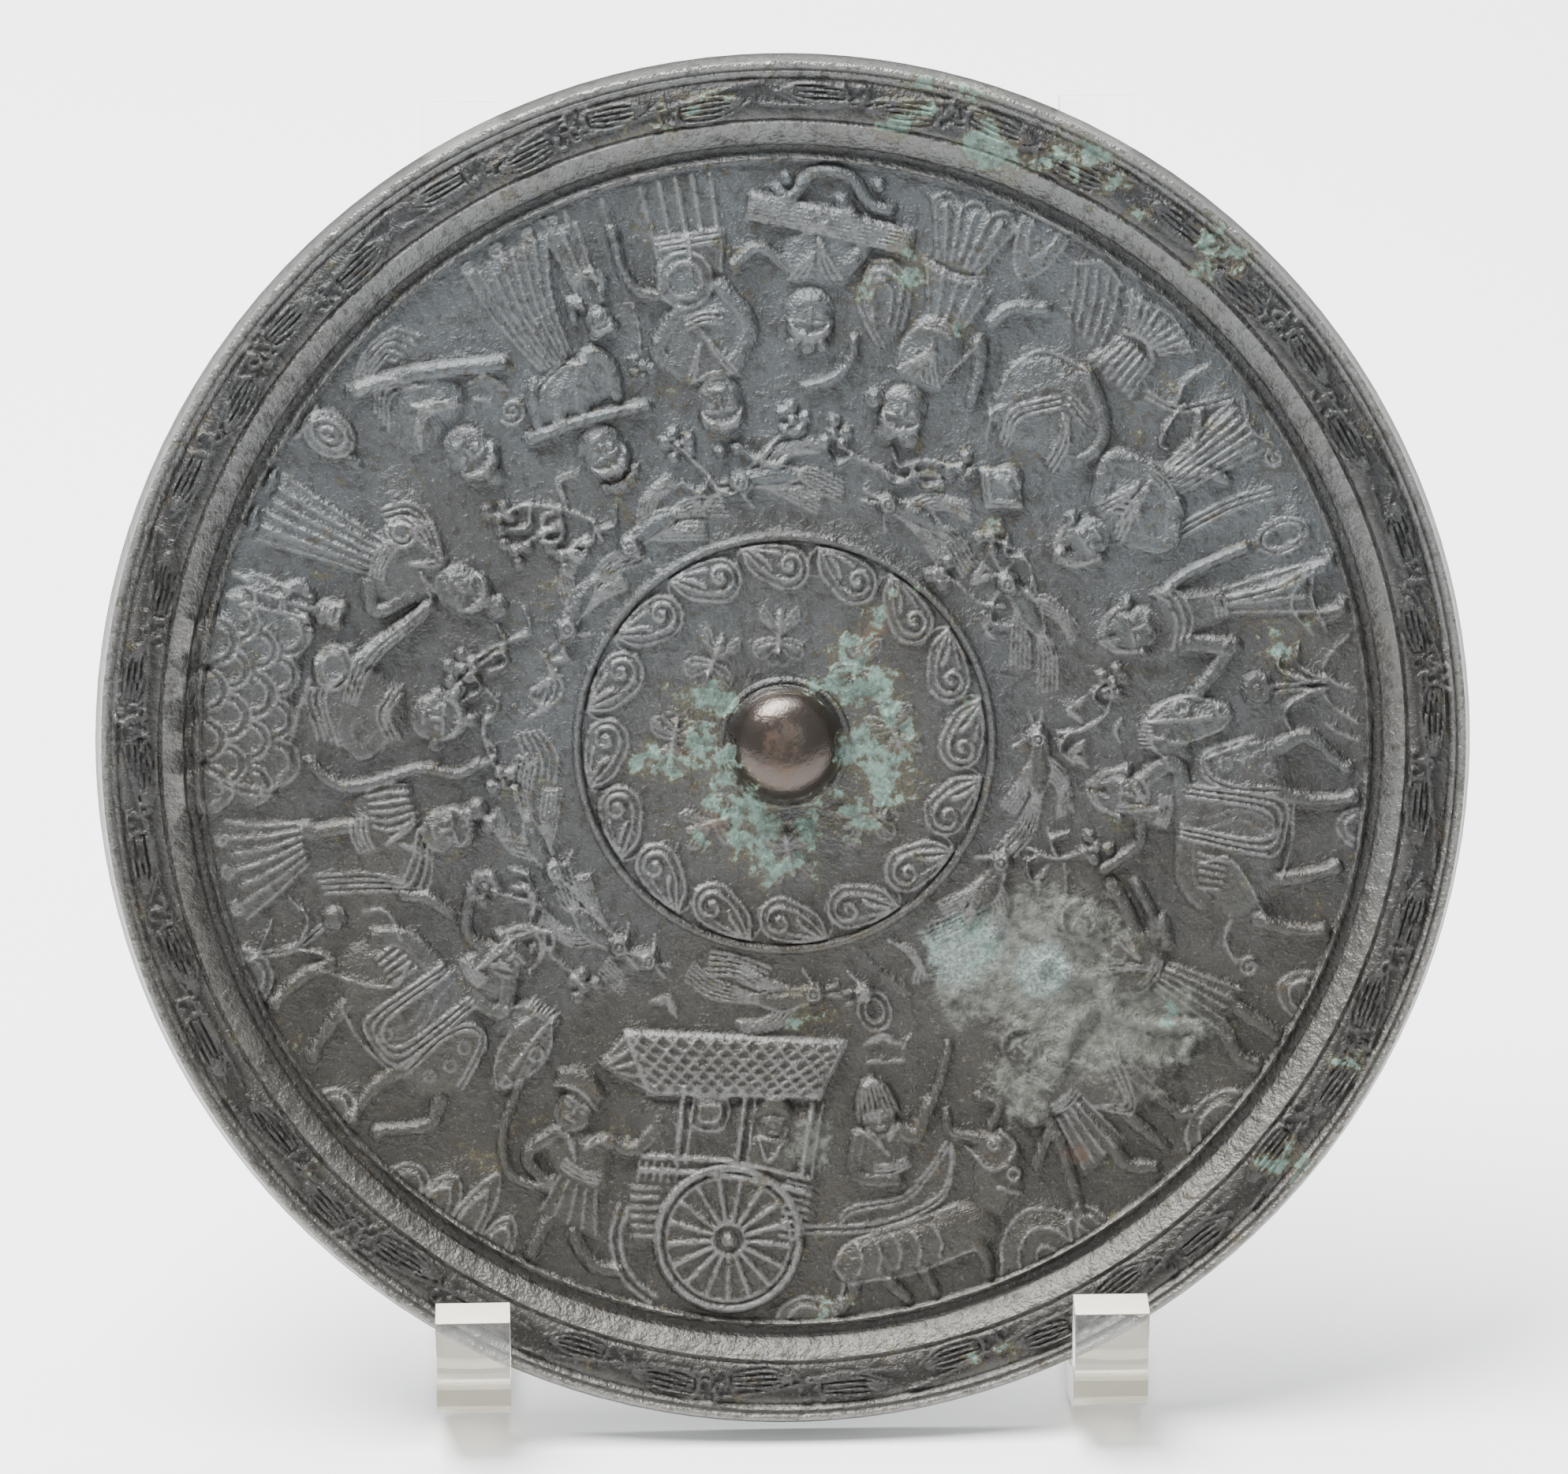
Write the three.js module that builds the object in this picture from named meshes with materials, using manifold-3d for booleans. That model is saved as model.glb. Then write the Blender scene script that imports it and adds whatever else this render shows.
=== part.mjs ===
// A cast bronze mirror, decorated face forward, leaning in a clear acrylic display stand.
// Millimetres, +Z up. The origin is the middle of the footprint, on the table.
// +X is to the right of somebody who faces the decorated side, and that side looks towards -Y.

import * as THREE from 'three';
import { mergeVertices } from 'three/addons/utils/BufferGeometryUtils.js';
import Module from 'manifold-3d';

const wasm = await Module();
wasm.setup();

// ---------------------------------------------------------------- driving dimensions

const mirrorRadius = 120;      // reflecting side, the widest edge of the casting
const frontRadius = 118.7;     // decorated side, the rim wall slopes in a little
const rimHeight = 6.6;         // rim ridges above the reflecting face
const fieldHeight = 3.0;       // sunk field that carries the figures
const turnSteps = 64;          // sides of everything turned

const bossRadius = 10.2;       // pierced knob in the middle
const bossHeight = 8.6;        // above the field
const cordHoleWidth = 5.4;
const cordHoleHeight = 3.6;

const innerRing = 36.2;        // ridge that closes the scroll border
const scrollFrom = 27.8;
const scrollTo = 35.0;
const scrollCount = 16;
const groundLine = 101.0;      // circle on which every figure stands, heads to the centre
const friezeFrom = 109.0;
const friezeTo = 115.3;
const friezeHeight = 5.9;      // above the reflecting face
const vineWaves = 21;          // half waves of the vine in the rim frieze
const vineRelief = 0.45;
const relief = 1.2;            // figures above the field

const lean = THREE.MathUtils.degToRad(20);   // mirror and uprights lean back
const tableGap = 1.0;          // lowest edge of the mirror above the table
const touchGap = 0.3;          // clearance between pieces that rest on each other

const stripWidth = 13;         // acrylic strip of the stand
const stripThick = 7;
const armSpacing = 111;        // between the middles of the two arms
const uprightReach = 112;      // top of the uprights above the mirror's middle
const lipHeight = 19.7;        // lip of the hook, outside
const lipOpen = THREE.MathUtils.degToRad(22);  // lip opens forward from the mirror
const bendRadius = 1.5;        // inside of every heated bend
const hookRoom = 1.0;          // play between rim and lip

// ---------------------------------------------------------------- materials

const bronze = new THREE.MeshStandardMaterial({ color: 0x55524d, roughness: 0.5, metalness: 0.75 });
const acrylic = new THREE.MeshStandardMaterial({ color: 0xe9eee8, roughness: 0.05, metalness: 0 });

// ---------------------------------------------------------------- solids from three geometry

function toSolid(geometry) {
  const bare = geometry.clone();
  bare.deleteAttribute('normal');
  bare.deleteAttribute('uv');
  const merged = mergeVertices(bare.index ? bare.toNonIndexed() : bare, 1e-4);
  const mesh = new wasm.Mesh({
    numProp: 3,
    vertProperties: new Float32Array(merged.attributes.position.array),
    triVerts: new Uint32Array(merged.index.array),
  });
  return new wasm.Manifold(mesh);
}

function toGeometry(solid) {
  const mesh = solid.getMesh();
  const geometry = new THREE.BufferGeometry();
  geometry.setAttribute('position', new THREE.BufferAttribute(mesh.vertProperties.slice(), 3));
  geometry.setIndex(new THREE.BufferAttribute(mesh.triVerts.slice(), 1));
  geometry.computeVertexNormals();
  return geometry;
}

// A flat outline raised to a height above its base, rooted just inside the casting.
function raise(outline, height, base) {
  const root = 0.5;
  const shape = new THREE.Shape(outline);
  const geometry = new THREE.ExtrudeGeometry(shape, { depth: root + height, bevelEnabled: false });
  geometry.translate(0, 0, base - root);
  return toSolid(geometry);
}

// ---------------------------------------------------------------- outlines

const point = (x, y) => new THREE.Vector2(x, y);

function disc(x, y, across, tall = across, sides = 7) {
  const outline = [];
  for (let i = 0; i < sides; i += 1) {
    const a = (i + 0.5) / sides * 2 * Math.PI;
    outline.push(point(x + across / 2 * Math.sin(a), y - tall / 2 * Math.cos(a)));
  }
  return outline;
}

// A straight bar that tapers from one width to another.
function bar(x0, y0, x1, y1, wide0, wide1 = wide0) {
  const length = Math.hypot(x1 - x0, y1 - y0);
  const sx = -(y1 - y0) / length / 2;
  const sy = (x1 - x0) / length / 2;
  return [
    point(x0 - sx * wide0, y0 - sy * wide0),
    point(x1 - sx * wide1, y1 - sy * wide1),
    point(x1 + sx * wide1, y1 + sy * wide1),
    point(x0 + sx * wide0, y0 + sy * wide0),
  ];
}

// ---------------------------------------------------------------- placing carved forms

const carved = [];

// Local x runs along the circle with increasing angle, local y runs from a radius to the centre.
function placer(degrees, radius = groundLine, base = fieldHeight) {
  const a = THREE.MathUtils.degToRad(degrees);
  const cos = Math.cos(a);
  const sin = Math.sin(a);
  return (outline, height = relief) => {
    const placed = outline.map(p => point(
      (radius - p.y) * cos - p.x * sin,
      (radius - p.y) * sin + p.x * cos,
    ));
    carved.push(raise(placed, height, base));
  };
}

// ---------------------------------------------------------------- the procession

// Head and headdress in one outline, chin at the height given.
function headOutline(x, chin, hat, half = 3.7) {
  return [
    point(x - 1.8, chin), point(x + 1.8, chin), point(x + half, chin + 4),
    point(x + 1.5, chin + 7.4 + hat), point(x - 1.5, chin + 7.4 + hat), point(x - half, chin + 4),
  ];
}

// A robed figure, up to 46 mm tall. Each arm is given by its elbow and, if it hangs free, its hand.
function figure(degrees, { hem = 7, tall = 1, hat = 4, left = [], right = [], raised = 0 }) {
  const put = placer(degrees);
  const y = v => raised + v * tall;
  const arm = (side, [ex = side * 5.4, ey = 27, hx, hy]) => {
    const lifted = hy > ey;
    const inner = point(ex - side * 1.6, y(ey) + (lifted ? 1 : -3.4));
    const outer = point(ex + side * 1.2, y(ey) - (lifted ? 3 : 0));
    const hand = hx === undefined ? [] : [point(hx - side * 1.6, y(hy)), point(hx + side * 1.6, y(hy))];
    const path = [inner, ...hand, outer];
    return [point(side * 4.2, y(20)), ...(lifted ? path.reverse() : path), point(side * 4.6, y(33))];
  };
  put([
    point(-3.8, y(0.4)), point(3.8, y(0.4)), point(hem, y(4.5)),
    ...arm(1, right), point(2, y(35)), point(-2, y(35)), ...arm(-1, left).reverse(),
    point(-hem, y(4.5)),
  ]);
  put(headOutline(0, y(34.2), hat), relief + 0.4);
  return put;
}

// A horse and its rider, facing towards larger angles.
function rider(degrees) {
  const put = placer(degrees);
  put([
    point(-16.5, 0.6), point(-13.5, 0.6), point(-11, 9), point(-9, 0.6), point(-6, 0.6), point(-5, 11),
    point(4, 11), point(5.5, 0.6), point(8.5, 0.6), point(10.5, 12), point(15.5, 3), point(18, 4.5),
    point(14, 16), point(15.5, 27), point(18, 31), point(20.5, 24.5), point(24, 26.5),
    point(20, 37), point(15.5, 38.5), point(8, 26), point(-9, 27), point(-15, 23), point(-20.5, 22),
    point(-21.5, 7), point(-18.8, 7), point(-17, 18), point(-15, 14),
  ]);
  put([
    point(-6, 23), point(-4, 11.5), point(4.5, 10.5), point(6.6, 23), point(9.4, 27), point(6, 32),
    point(2, 35.6), point(-2, 35.6), point(-6, 30),
  ], relief + 0.5);
  put(headOutline(0, 35.2, 4.4), relief + 0.8);
}

function wheel(degrees, radius, outer) {
  const put = placer(degrees, radius);
  const hollow = outer - 1.6;
  put(disc(0, 0, outer * 2, outer * 2, 18), relief + 0.3);
  put(disc(0, 0, hollow * 2, hollow * 2, 18), relief + 1);
  const inside = carved.pop();
  const whole = carved.pop();
  carved.push(whole.subtract(inside));
  for (let i = 0; i < 3; i += 1) {
    const a = i * Math.PI / 3;
    const x = Math.cos(a) * (hollow + 0.4);
    const y = Math.sin(a) * (hollow + 0.4);
    put(bar(-x, -y, x, y, 1.2), relief);
  }
  put(disc(0, 0, 6.2, 6.2, 6), relief + 0.6);
}

// Two-wheeled cart: a matted roof on posts over a box with a window and a passenger.
function cart() {
  const put = placer(262);
  put([
    point(-24.5, 38), point(16, 37), point(13, 45.5), point(-15, 46), point(-18.6, 48.6),
  ], relief + 0.6);
  for (const x of [-17.5, -2, 13]) {
    put(bar(x, 26, x, 38, 2), relief + 0.3);
  }
  put(headOutline(5, 29, -1, 3), relief + 0.2);
  put([point(-22, 12), point(-21, 28), point(16, 27), point(20, 14)], relief);
  wheel(263, 87.4, 13.1);
}

function ox() {
  placer(284)([
    point(-18, 1), point(-16.2, 1), point(-14.6, 10), point(-13.6, 0.6), point(-10.4, 0.6),
    point(-9, 8), point(4, 7), point(5.4, 0.6), point(8.4, 0.6), point(10, 8), point(12.6, 0.6),
    point(14.8, 8), point(15.6, 16), point(20, 13), point(22.6, 15), point(21, 25),
    point(21, 33), point(18, 27), point(14.6, 33), point(14, 24), point(10, 20), point(-6, 21),
    point(-15.4, 17),
  ]);
}

// The driver kneels behind the ox and holds a goad.
function driver() {
  const put = placer(283.5);
  put([
    point(-5, 22), point(5.4, 22), point(6, 26), point(10, 31), point(16, 41), point(14.6, 42),
    point(8.4, 34), point(4, 31.6), point(-4, 31.6), point(-6.6, 27),
  ], relief + 0.2);
  put(headOutline(0, 31, 1.4), relief + 0.5);
}

function packAnimal() {
  placer(316)([
    point(-12.6, 1), point(-9.4, 1), point(-7, 11), point(-4.8, 1), point(-1.8, 1), point(0, 11),
    point(4, 11), point(5.6, 1), point(8.6, 1), point(9.6, 12), point(13.6, 5), point(15, 6.6),
    point(13, 18), point(8, 25), point(0, 28), point(-8, 25), point(-13.4, 17),
  ]);
}

function procession() {
  rider(349.5);
  figure(17.3, { hem: 5.4, hat: 3, left: [-8, 22], right: [7, 25] });
  figure(33.7, { hem: 6.4, hat: 4, left: [-9, 25], right: [9, 25] });
  const piper = figure(49.5, { hem: 9, hat: 4, left: [-7.4, 26], right: [7, 25] });
  piper(bar(0, 24, 12, 33, 2.4), relief + 0.5);
  figure(69.5, { hem: 7.4, hat: 4, left: [-8.4, 28, -8.6, 20], right: [10, 24, 9, 15] });
  const zither = figure(86, { hem: 8, tall: 0.74, hat: 3, left: [-7, 24], right: [7, 24] });
  zither([point(-15, 8), point(7, 4), point(8, 9.5), point(-15, 13.5)], relief + 0.7);
  const drummer = figure(99.5, { hem: 5.6, hat: 4, left: [-9, 26], right: [9, 26] });
  drummer(disc(3.5, 18.5, 9.6, 9.6, 7), relief + 0.7);
  const flute = figure(120.7, { hem: 7.4, hat: 2, left: [-8.4, 29], right: [9, 28] });
  flute(bar(-9.5, 38.6, 8, 32.6, 2.4), relief + 0.7);
  figure(136.5, { hem: 10.5, tall: 0.72, hat: 1, left: [-8, 22], right: [8, 22] });
  placer(145.5)(disc(0, 5.6, 6.6, 5.6, 7));
  const tabor = figure(154, { hem: 7, hat: 4, left: [-7, 26], right: [9, 27] });
  tabor(disc(-5, 25, 6.2, 6.2, 7), relief + 0.7);
  figure(163.8, { hem: 3.6, tall: 0.46, hat: -1, left: [-4, 20], right: [5, 26] });
  const lute = figure(174, { hem: 9, tall: 0.78, raised: 9.6, hat: 2, left: [-7, 20], right: [8, 20] });
  lute([
    point(-12, 9), point(-9, 2), point(9, 1.5), point(12, 9), point(10, 16), point(-9, 16),
  ], relief - 0.1);
  lute(bar(-18.5, 34, 2, 25, 2.6, 7.4), relief + 0.7);
  figure(193, { hem: 9.5, hat: 4, left: [-8.4, 30, -10, 22], right: [8, 30, 10, 20] });
  rider(217);
  figure(243.5, { hem: 5.6, tall: 0.8, hat: 0.6, left: [-7, 23], right: [9.4, 31, 12, 39] });
  cart();
  driver();
  ox();
  figure(307, { hem: 5.6, tall: 0.88, hat: 0.6, left: [-8, 26], right: [7, 26] });
  packAnimal();
  figure(328.4, { hem: 6.6, hat: 2, left: [-9, 28], right: [8, 29] });
}

// ---------------------------------------------------------------- plants and rocks between the figures

function growing() {
  for (const [degrees, tall] of [[5.5, 18], [40.5, 17], [109.5, 24], [182.6, 14], [201, 17]]) {
    placer(degrees)([
      point(-1, 0.5), point(1, 0.5), point(4.8, 6), point(5, tall * 0.6), point(1.4, tall * 0.4),
      point(2.2, tall), point(0, tall + 2.4), point(-2.2, tall),
    ], relief - 0.2);
  }
  for (const [degrees, wide, tall] of [[62, 8, 11], [235, 17, 15], [271.4, 7, 4]]) {
    const half = wide / 2;
    placer(degrees)([
      point(-half, 0.5), point(half, 0.5), point(half * 0.5, tall * 0.75),
      point(-half * 0.2, tall), point(-half * 0.8, tall * 0.6),
    ], relief - 0.3);
  }
}

// ---------------------------------------------------------------- birds in the inner band

// One outline: head, lifted wing and a long tail, flying towards larger angles.
function bird(degrees, radius, span) {
  const half = span / 2;
  placer(degrees, radius)([
    point(-half, -0.8), point(-half * 0.2, -3.6), point(half * 0.6, -2.2), point(half + 1.4, 3.4),
    point(half - 1.2, 4.8), point(half * 0.2, 1.8), point(-half * 0.4, 6), point(-half * 0.3, 1.4),
    point(-half, 2),
  ], relief - 0.1);
}

function birds() {
  const flock = [
    [352, 45.5, 19], [21, 46.5, 18], [58, 47, 14], [91, 44, 20], [118, 44.5, 17], [144, 45.5, 16],
    [166, 47, 14], [200, 46.5, 16], [223, 46, 13], [239, 44.5, 10], [264, 43.5, 19],
    [297, 46, 10], [320, 45, 18],
  ];
  for (const [degrees, radius, span] of flock) {
    bird(degrees, radius, span);
  }
}

// ---------------------------------------------------------------- borders

// Cloud scrolls: a round head with a tail that thins out along the circle.
function scrollBorder() {
  const step = 360 / scrollCount;
  const band = (scrollFrom + scrollTo) / 2;
  for (let i = 0; i < scrollCount; i += 1) {
    placer(2 + i * step, band)([
      point(-4.6, -1), point(-1.6, -3.2), point(3.4, -2.6), point(5.6, 2.2), point(2.4, -0.2),
      point(-0.6, 1), point(-1.6, 3.2), point(-4.2, 2.8),
    ], relief - 0.2);
  }
}

// Small leaf-like insects round the knob.
function innerMotifs() {
  for (const degrees of [4, 50, 90, 125, 180, 225, 270, 320]) {
    placer(degrees, 19.5)([
      point(-2.4, -1.6), point(0, -0.6), point(2.4, -1.6), point(3.2, 2), point(0, 0.8),
      point(-3.2, 2),
    ], relief - 0.4);
  }
}

// The vine of the rim frieze swings between the frieze's edges in shallow S-shaped waves.
function vine() {
  const step = 360 / vineWaves;
  const band = (friezeFrom + friezeTo) / 2;
  const half = band * THREE.MathUtils.degToRad(step) / 2;
  for (let i = 0; i < vineWaves; i += 1) {
    const put = placer(203 + i * step, band, friezeHeight);
    const swing = i % 2 === 0 ? 2 : -2;
    put([
      point(-half, -swing - 0.5), point(0, -0.9), point(half - 0.4, swing - 0.5),
      point(half - 0.4, swing + 0.5), point(0, 0.9), point(-half, -swing + 0.5),
    ], vineRelief);
  }
}

// ---------------------------------------------------------------- the casting

// Half section through the disc, from the axis out over the decorated side and back.
function discProfile() {
  const f = fieldHeight;
  return [
    point(0, 0),
    point(mirrorRadius, 0),
    point(frontRadius, rimHeight - 0.3),
    point(frontRadius - 0.7, rimHeight),
    point(117.4, friezeHeight),
    point(116.8, rimHeight - 0.2),
    point(friezeTo + 0.5, friezeHeight - 0.4),
    point(friezeTo, friezeHeight),
    point(friezeFrom, friezeHeight),
    point(friezeFrom - 0.4, friezeHeight - 0.5),
    point(friezeFrom - 0.9, friezeHeight + 0.1),
    point(104.6, f + 1.4),
    point(104.2, f + 0.1),
    point(102.9, f + 0.1),
    point(101.9, f + 1.1),
    point(101.2, f),
    point(innerRing + 0.9, f),
    point(innerRing + 0.4, f + 0.9),
    point(innerRing - 0.5, f + 0.9),
    point(innerRing - 0.9, f),
    point(bossRadius + 1.6, f),
    point(bossRadius + 1.1, f + 0.7),
    point(bossRadius + 0.3, f + 0.7),
    ...bossArc(),
    point(0, f + bossHeight),
  ];
}

function bossArc() {
  const arc = [];
  for (let i = 0; i < 5; i += 1) {
    const a = i / 5 * Math.PI / 2;
    arc.push(point(bossRadius * Math.cos(a) ** 0.8, fieldHeight + bossHeight * Math.sin(a)));
  }
  return arc;
}

function cordHole() {
  const half = cordHoleWidth / 2;
  const arch = new THREE.Shape();
  arch.moveTo(-half, 0);
  arch.lineTo(half, 0);
  arch.lineTo(half, cordHoleHeight / 2);
  arch.absarc(0, cordHoleHeight / 2, half, 0, Math.PI, false);
  const geometry = new THREE.ExtrudeGeometry(arch, {
    depth: bossRadius * 3,
    bevelEnabled: false,
    curveSegments: 4,
  });
  geometry.translate(0, 0, -bossRadius * 1.5);
  geometry.rotateX(Math.PI / 2);
  geometry.rotateZ(Math.PI / 2);
  geometry.translate(0, 0, fieldHeight + 0.8);
  return toSolid(geometry);
}

function mirrorSolid() {
  const turned = new THREE.LatheGeometry(discProfile(), turnSteps);
  turned.rotateX(Math.PI / 2);
  let body = toSolid(turned);
  body = body.subtract(cordHole());
  procession();
  growing();
  birds();
  scrollBorder();
  innerMotifs();
  vine();
  return wasm.Manifold.union([body, ...carved]);
}

// ---------------------------------------------------------------- the stand

const bendSteps = 6;
const mirrorMiddle = tableGap + mirrorRadius * Math.cos(lean);
const armInside = armSpacing / 2 - stripWidth / 2;

// Section of the leaning mirror: up along its face and out in front of it, as world Y and Z.
const leaning = (up, out) => point(
  up * Math.sin(lean) - out * Math.cos(lean),
  mirrorMiddle + up * Math.cos(lean) + out * Math.sin(lean),
);

// A strip with one heated bend. Its outer face runs from start over corner to end, and the
// strip lies on the left of that path.
function bentStrip(start, corner, end, thick) {
  const left = d => point(-d.y, d.x);
  const into = corner.clone().sub(start).normalize();
  const out = end.clone().sub(corner).normalize();
  const turn = Math.acos(into.dot(out));
  const outside = bendRadius + thick;
  const centre = corner.clone()
    .addScaledVector(into, -outside * Math.tan(turn / 2))
    .addScaledVector(left(into), outside);
  const arc = radius => Array.from({ length: bendSteps + 1 }, (_, k) => {
    const spoke = left(into).rotateAround(point(0, 0), turn * k / bendSteps);
    return centre.clone().addScaledVector(spoke, -radius);
  });
  const outer = [start, ...arc(outside), end];
  const inner = [
    start.clone().addScaledVector(left(into), thick),
    ...arc(bendRadius),
    end.clone().addScaledVector(left(out), thick),
  ];
  return outer.concat(inner.reverse());
}

// A section in the Y-Z plane, as wide as the strip along X.
function stripSolid(outline, fromX) {
  const geometry = new THREE.ExtrudeGeometry(new THREE.Shape(outline), {
    depth: stripWidth,
    bevelEnabled: false,
  });
  const basis = new THREE.Matrix4().makeBasis(
    new THREE.Vector3(0, 1, 0),
    new THREE.Vector3(0, 0, 1),
    new THREE.Vector3(1, 0, 0),
  );
  geometry.applyMatrix4(basis);
  geometry.translate(fromX, 0, 0);
  return toSolid(geometry);
}

// The ledge is square to the mirror and clears the lowest part of the rim that it carries.
const ledgeTop = -Math.sqrt(mirrorRadius ** 2 - armInside ** 2) - touchGap;

function hookOutline() {
  const sin = Math.sin(lipOpen);
  const cos = Math.cos(lipOpen);
  const cornerUp = ledgeTop - stripThick;
  const cornerOut = rimHeight + hookRoom + stripThick * (cos - sin * (1 - sin) / cos);
  const lipTop = leaning(cornerUp + lipHeight * cos, cornerOut + lipHeight * sin);
  return bentStrip(lipTop, leaning(cornerUp, cornerOut), leaning(cornerUp, -stripThick / 2), stripThick);
}

// The feet run as far back as the hooks reach forward, so the footprint is centred.
const hook = hookOutline();
const footBack = -Math.min(...hook.map(p => p.x));

function uprightOutline() {
  const heel = leaning(-(mirrorMiddle - touchGap * Math.sin(lean)) / Math.cos(lean), -touchGap);
  return bentStrip(leaning(uprightReach, -touchGap), heel, point(footBack, 0), stripThick);
}

function armSolid(middleX) {
  const fromX = middleX - stripWidth / 2;
  return stripSolid(uprightOutline(), fromX).add(stripSolid(hook, fromX));
}

function crossBar() {
  const length = 2 * (armInside - touchGap);
  const geometry = new THREE.BoxGeometry(length, stripWidth, stripThick);
  geometry.translate(0, footBack - stripWidth / 2, stripThick / 2);
  return geometry;
}

// ---------------------------------------------------------------- the object

function named(geometry, material, name) {
  const mesh = new THREE.Mesh(geometry, material);
  mesh.name = name;
  return mesh;
}

const mirror = named(toGeometry(mirrorSolid()), bronze, 'bronze_mirror');
mirror.rotation.x = Math.PI / 2 - lean;
mirror.position.z = mirrorMiddle;

const display = new THREE.Group();
display.add(mirror);
display.add(named(toGeometry(armSolid(-armSpacing / 2)), acrylic, 'stand_arm_left'));
display.add(named(toGeometry(armSolid(armSpacing / 2)), acrylic, 'stand_arm_right'));
display.add(named(crossBar(), acrylic, 'stand_cross_bar'));

export default display;
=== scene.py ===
# %% [markdown]
# # A cast bronze mirror in a clear acrylic stand
#
# The part is already built at its real size. This lesson dresses it: the bronze gets its
# full relief and its patina, and the acrylic gets rounded, polished edges. Each piece takes
# its place from the frame, so that it stays on the solid that it covers.

# %% Load the frame
from math import atan2, cos, pi, radians, sin

import bmesh
import bpy
import numpy as np
from mathutils import Matrix, Vector


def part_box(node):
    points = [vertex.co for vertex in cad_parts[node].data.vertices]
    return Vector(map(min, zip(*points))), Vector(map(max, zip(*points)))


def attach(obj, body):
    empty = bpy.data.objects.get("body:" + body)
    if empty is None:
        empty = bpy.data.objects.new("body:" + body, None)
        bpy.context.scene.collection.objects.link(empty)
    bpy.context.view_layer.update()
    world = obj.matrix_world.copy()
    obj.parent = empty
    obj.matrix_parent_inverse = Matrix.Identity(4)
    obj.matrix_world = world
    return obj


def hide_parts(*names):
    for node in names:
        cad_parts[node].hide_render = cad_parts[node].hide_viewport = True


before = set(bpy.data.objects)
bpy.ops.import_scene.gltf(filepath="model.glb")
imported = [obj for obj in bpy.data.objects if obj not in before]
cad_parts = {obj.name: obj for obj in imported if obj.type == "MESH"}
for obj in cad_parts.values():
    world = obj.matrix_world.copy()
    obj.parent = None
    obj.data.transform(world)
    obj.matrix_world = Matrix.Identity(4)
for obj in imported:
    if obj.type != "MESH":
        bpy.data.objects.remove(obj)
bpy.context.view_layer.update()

MM = 0.001
print("pieces in the frame:", sorted(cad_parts))

# %% [markdown]
# ## Where the mirror stands
#
# The disc leans back in its stand by 20 degrees, decorated side forward. It is easier to
# make flat and in millimetres: x to the right, y up along the face, z out of it. One matrix
# then scales it, leans it and lifts it into place. The height of its middle comes from the
# lowest edge of the solid, so it follows the frame.

# %% Mirror axes
LEAN = radians(20)
RADIUS = 120.0           # reflecting side
FRONT_RADIUS = 118.7     # decorated side
mirror_low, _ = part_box("bronze_mirror")
middle_z = mirror_low[2] / MM + RADIUS * cos(LEAN)
TO_WORLD = (
    Matrix.Translation((0, 0, middle_z * MM))
    @ Matrix.Rotation(pi / 2 - LEAN, 4, "X")
    @ Matrix.Scale(MM, 4)
)
print("mirror middle is", round(middle_z, 2), "mm above the table")

# %% [markdown]
# ## A board to carve on
#
# The real relief was cut in clay and cast. It could be modelled figure by figure, but each
# would need joining to the disc. Here it is a height map instead: a square grid over the
# disc, in millimetres, with one layer for broad forms and one for raised lines. A mesh is
# made of it afterwards. On a grid, forms melt together as they do in clay, and a stroke
# costs nothing.

# %% The board
CELL = 0.25              # side of a cell
HALF = 122.0             # the board reaches this far from the middle
TINY = 1e-9              # keeps a division by a length from failing
SIDE = int(2 * HALF / CELL) + 1
AXIS = np.linspace(-HALF, HALF, SIDE)
GRID_X, GRID_Y = np.meshgrid(AXIS, AXIS)
GRID_R = np.hypot(GRID_X, GRID_Y)
forms = np.zeros((SIDE, SIDE))
lines = np.zeros((SIDE, SIDE))
print("board has", SIDE, "cells a side")


def window(points, margin):
    """The part of the board round some points."""
    low = np.floor((points.min(0) - margin + HALF) / CELL).astype(int).clip(0, SIDE - 2)
    high = np.ceil((points.max(0) + margin + HALF) / CELL).astype(int).clip(1, SIDE - 1)
    return slice(low[1], high[1] + 1), slice(low[0], high[0] + 1)


def smooth(points, steps=5):
    """A smooth curve through a few points (a Catmull-Rom spline)."""
    if len(points) < 3:
        return points
    ends = np.vstack([2 * points[0] - points[1], points, 2 * points[-1] - points[-2]])
    t = np.linspace(0, 1, steps, endpoint=False)[:, None]
    runs = []
    for a, b, c, d in zip(ends, ends[1:], ends[2:], ends[3:]):
        runs.append(0.5 * (2 * b + (c - a) * t + (2 * a - 5 * b + 4 * c - d) * t ** 2
                           + (3 * b - a - 3 * c + d) * t ** 3))
    return np.vstack(runs + [points[-1:]])


# %% Three stamps


def stamp_line(layer, points, wide0, wide1, height):
    """A round-backed raised line that can thin out along its length."""
    part = window(points, max(wide0, wide1))
    x, y = GRID_X[part], GRID_Y[part]
    best = np.zeros(x.shape)
    lengths = np.hypot(*np.diff(points, axis=0).T)
    total = lengths.sum() + TINY
    done = 0.0
    for (ax, ay), (bx, by), length in zip(points, points[1:], lengths):
        dx, dy = bx - ax, by - ay
        t = (((x - ax) * dx + (y - ay) * dy) / (length * length + TINY)).clip(0, 1)
        half = 0.5 * (wide0 + (wide1 - wide0) * (done + t * length) / total)
        gap = np.hypot(x - ax - t * dx, y - ay - t * dy) / half
        np.maximum(best, 1 - gap * gap, out=best)
        done += length
    np.maximum(layer[part], height * np.sqrt(best), out=layer[part])


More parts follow.
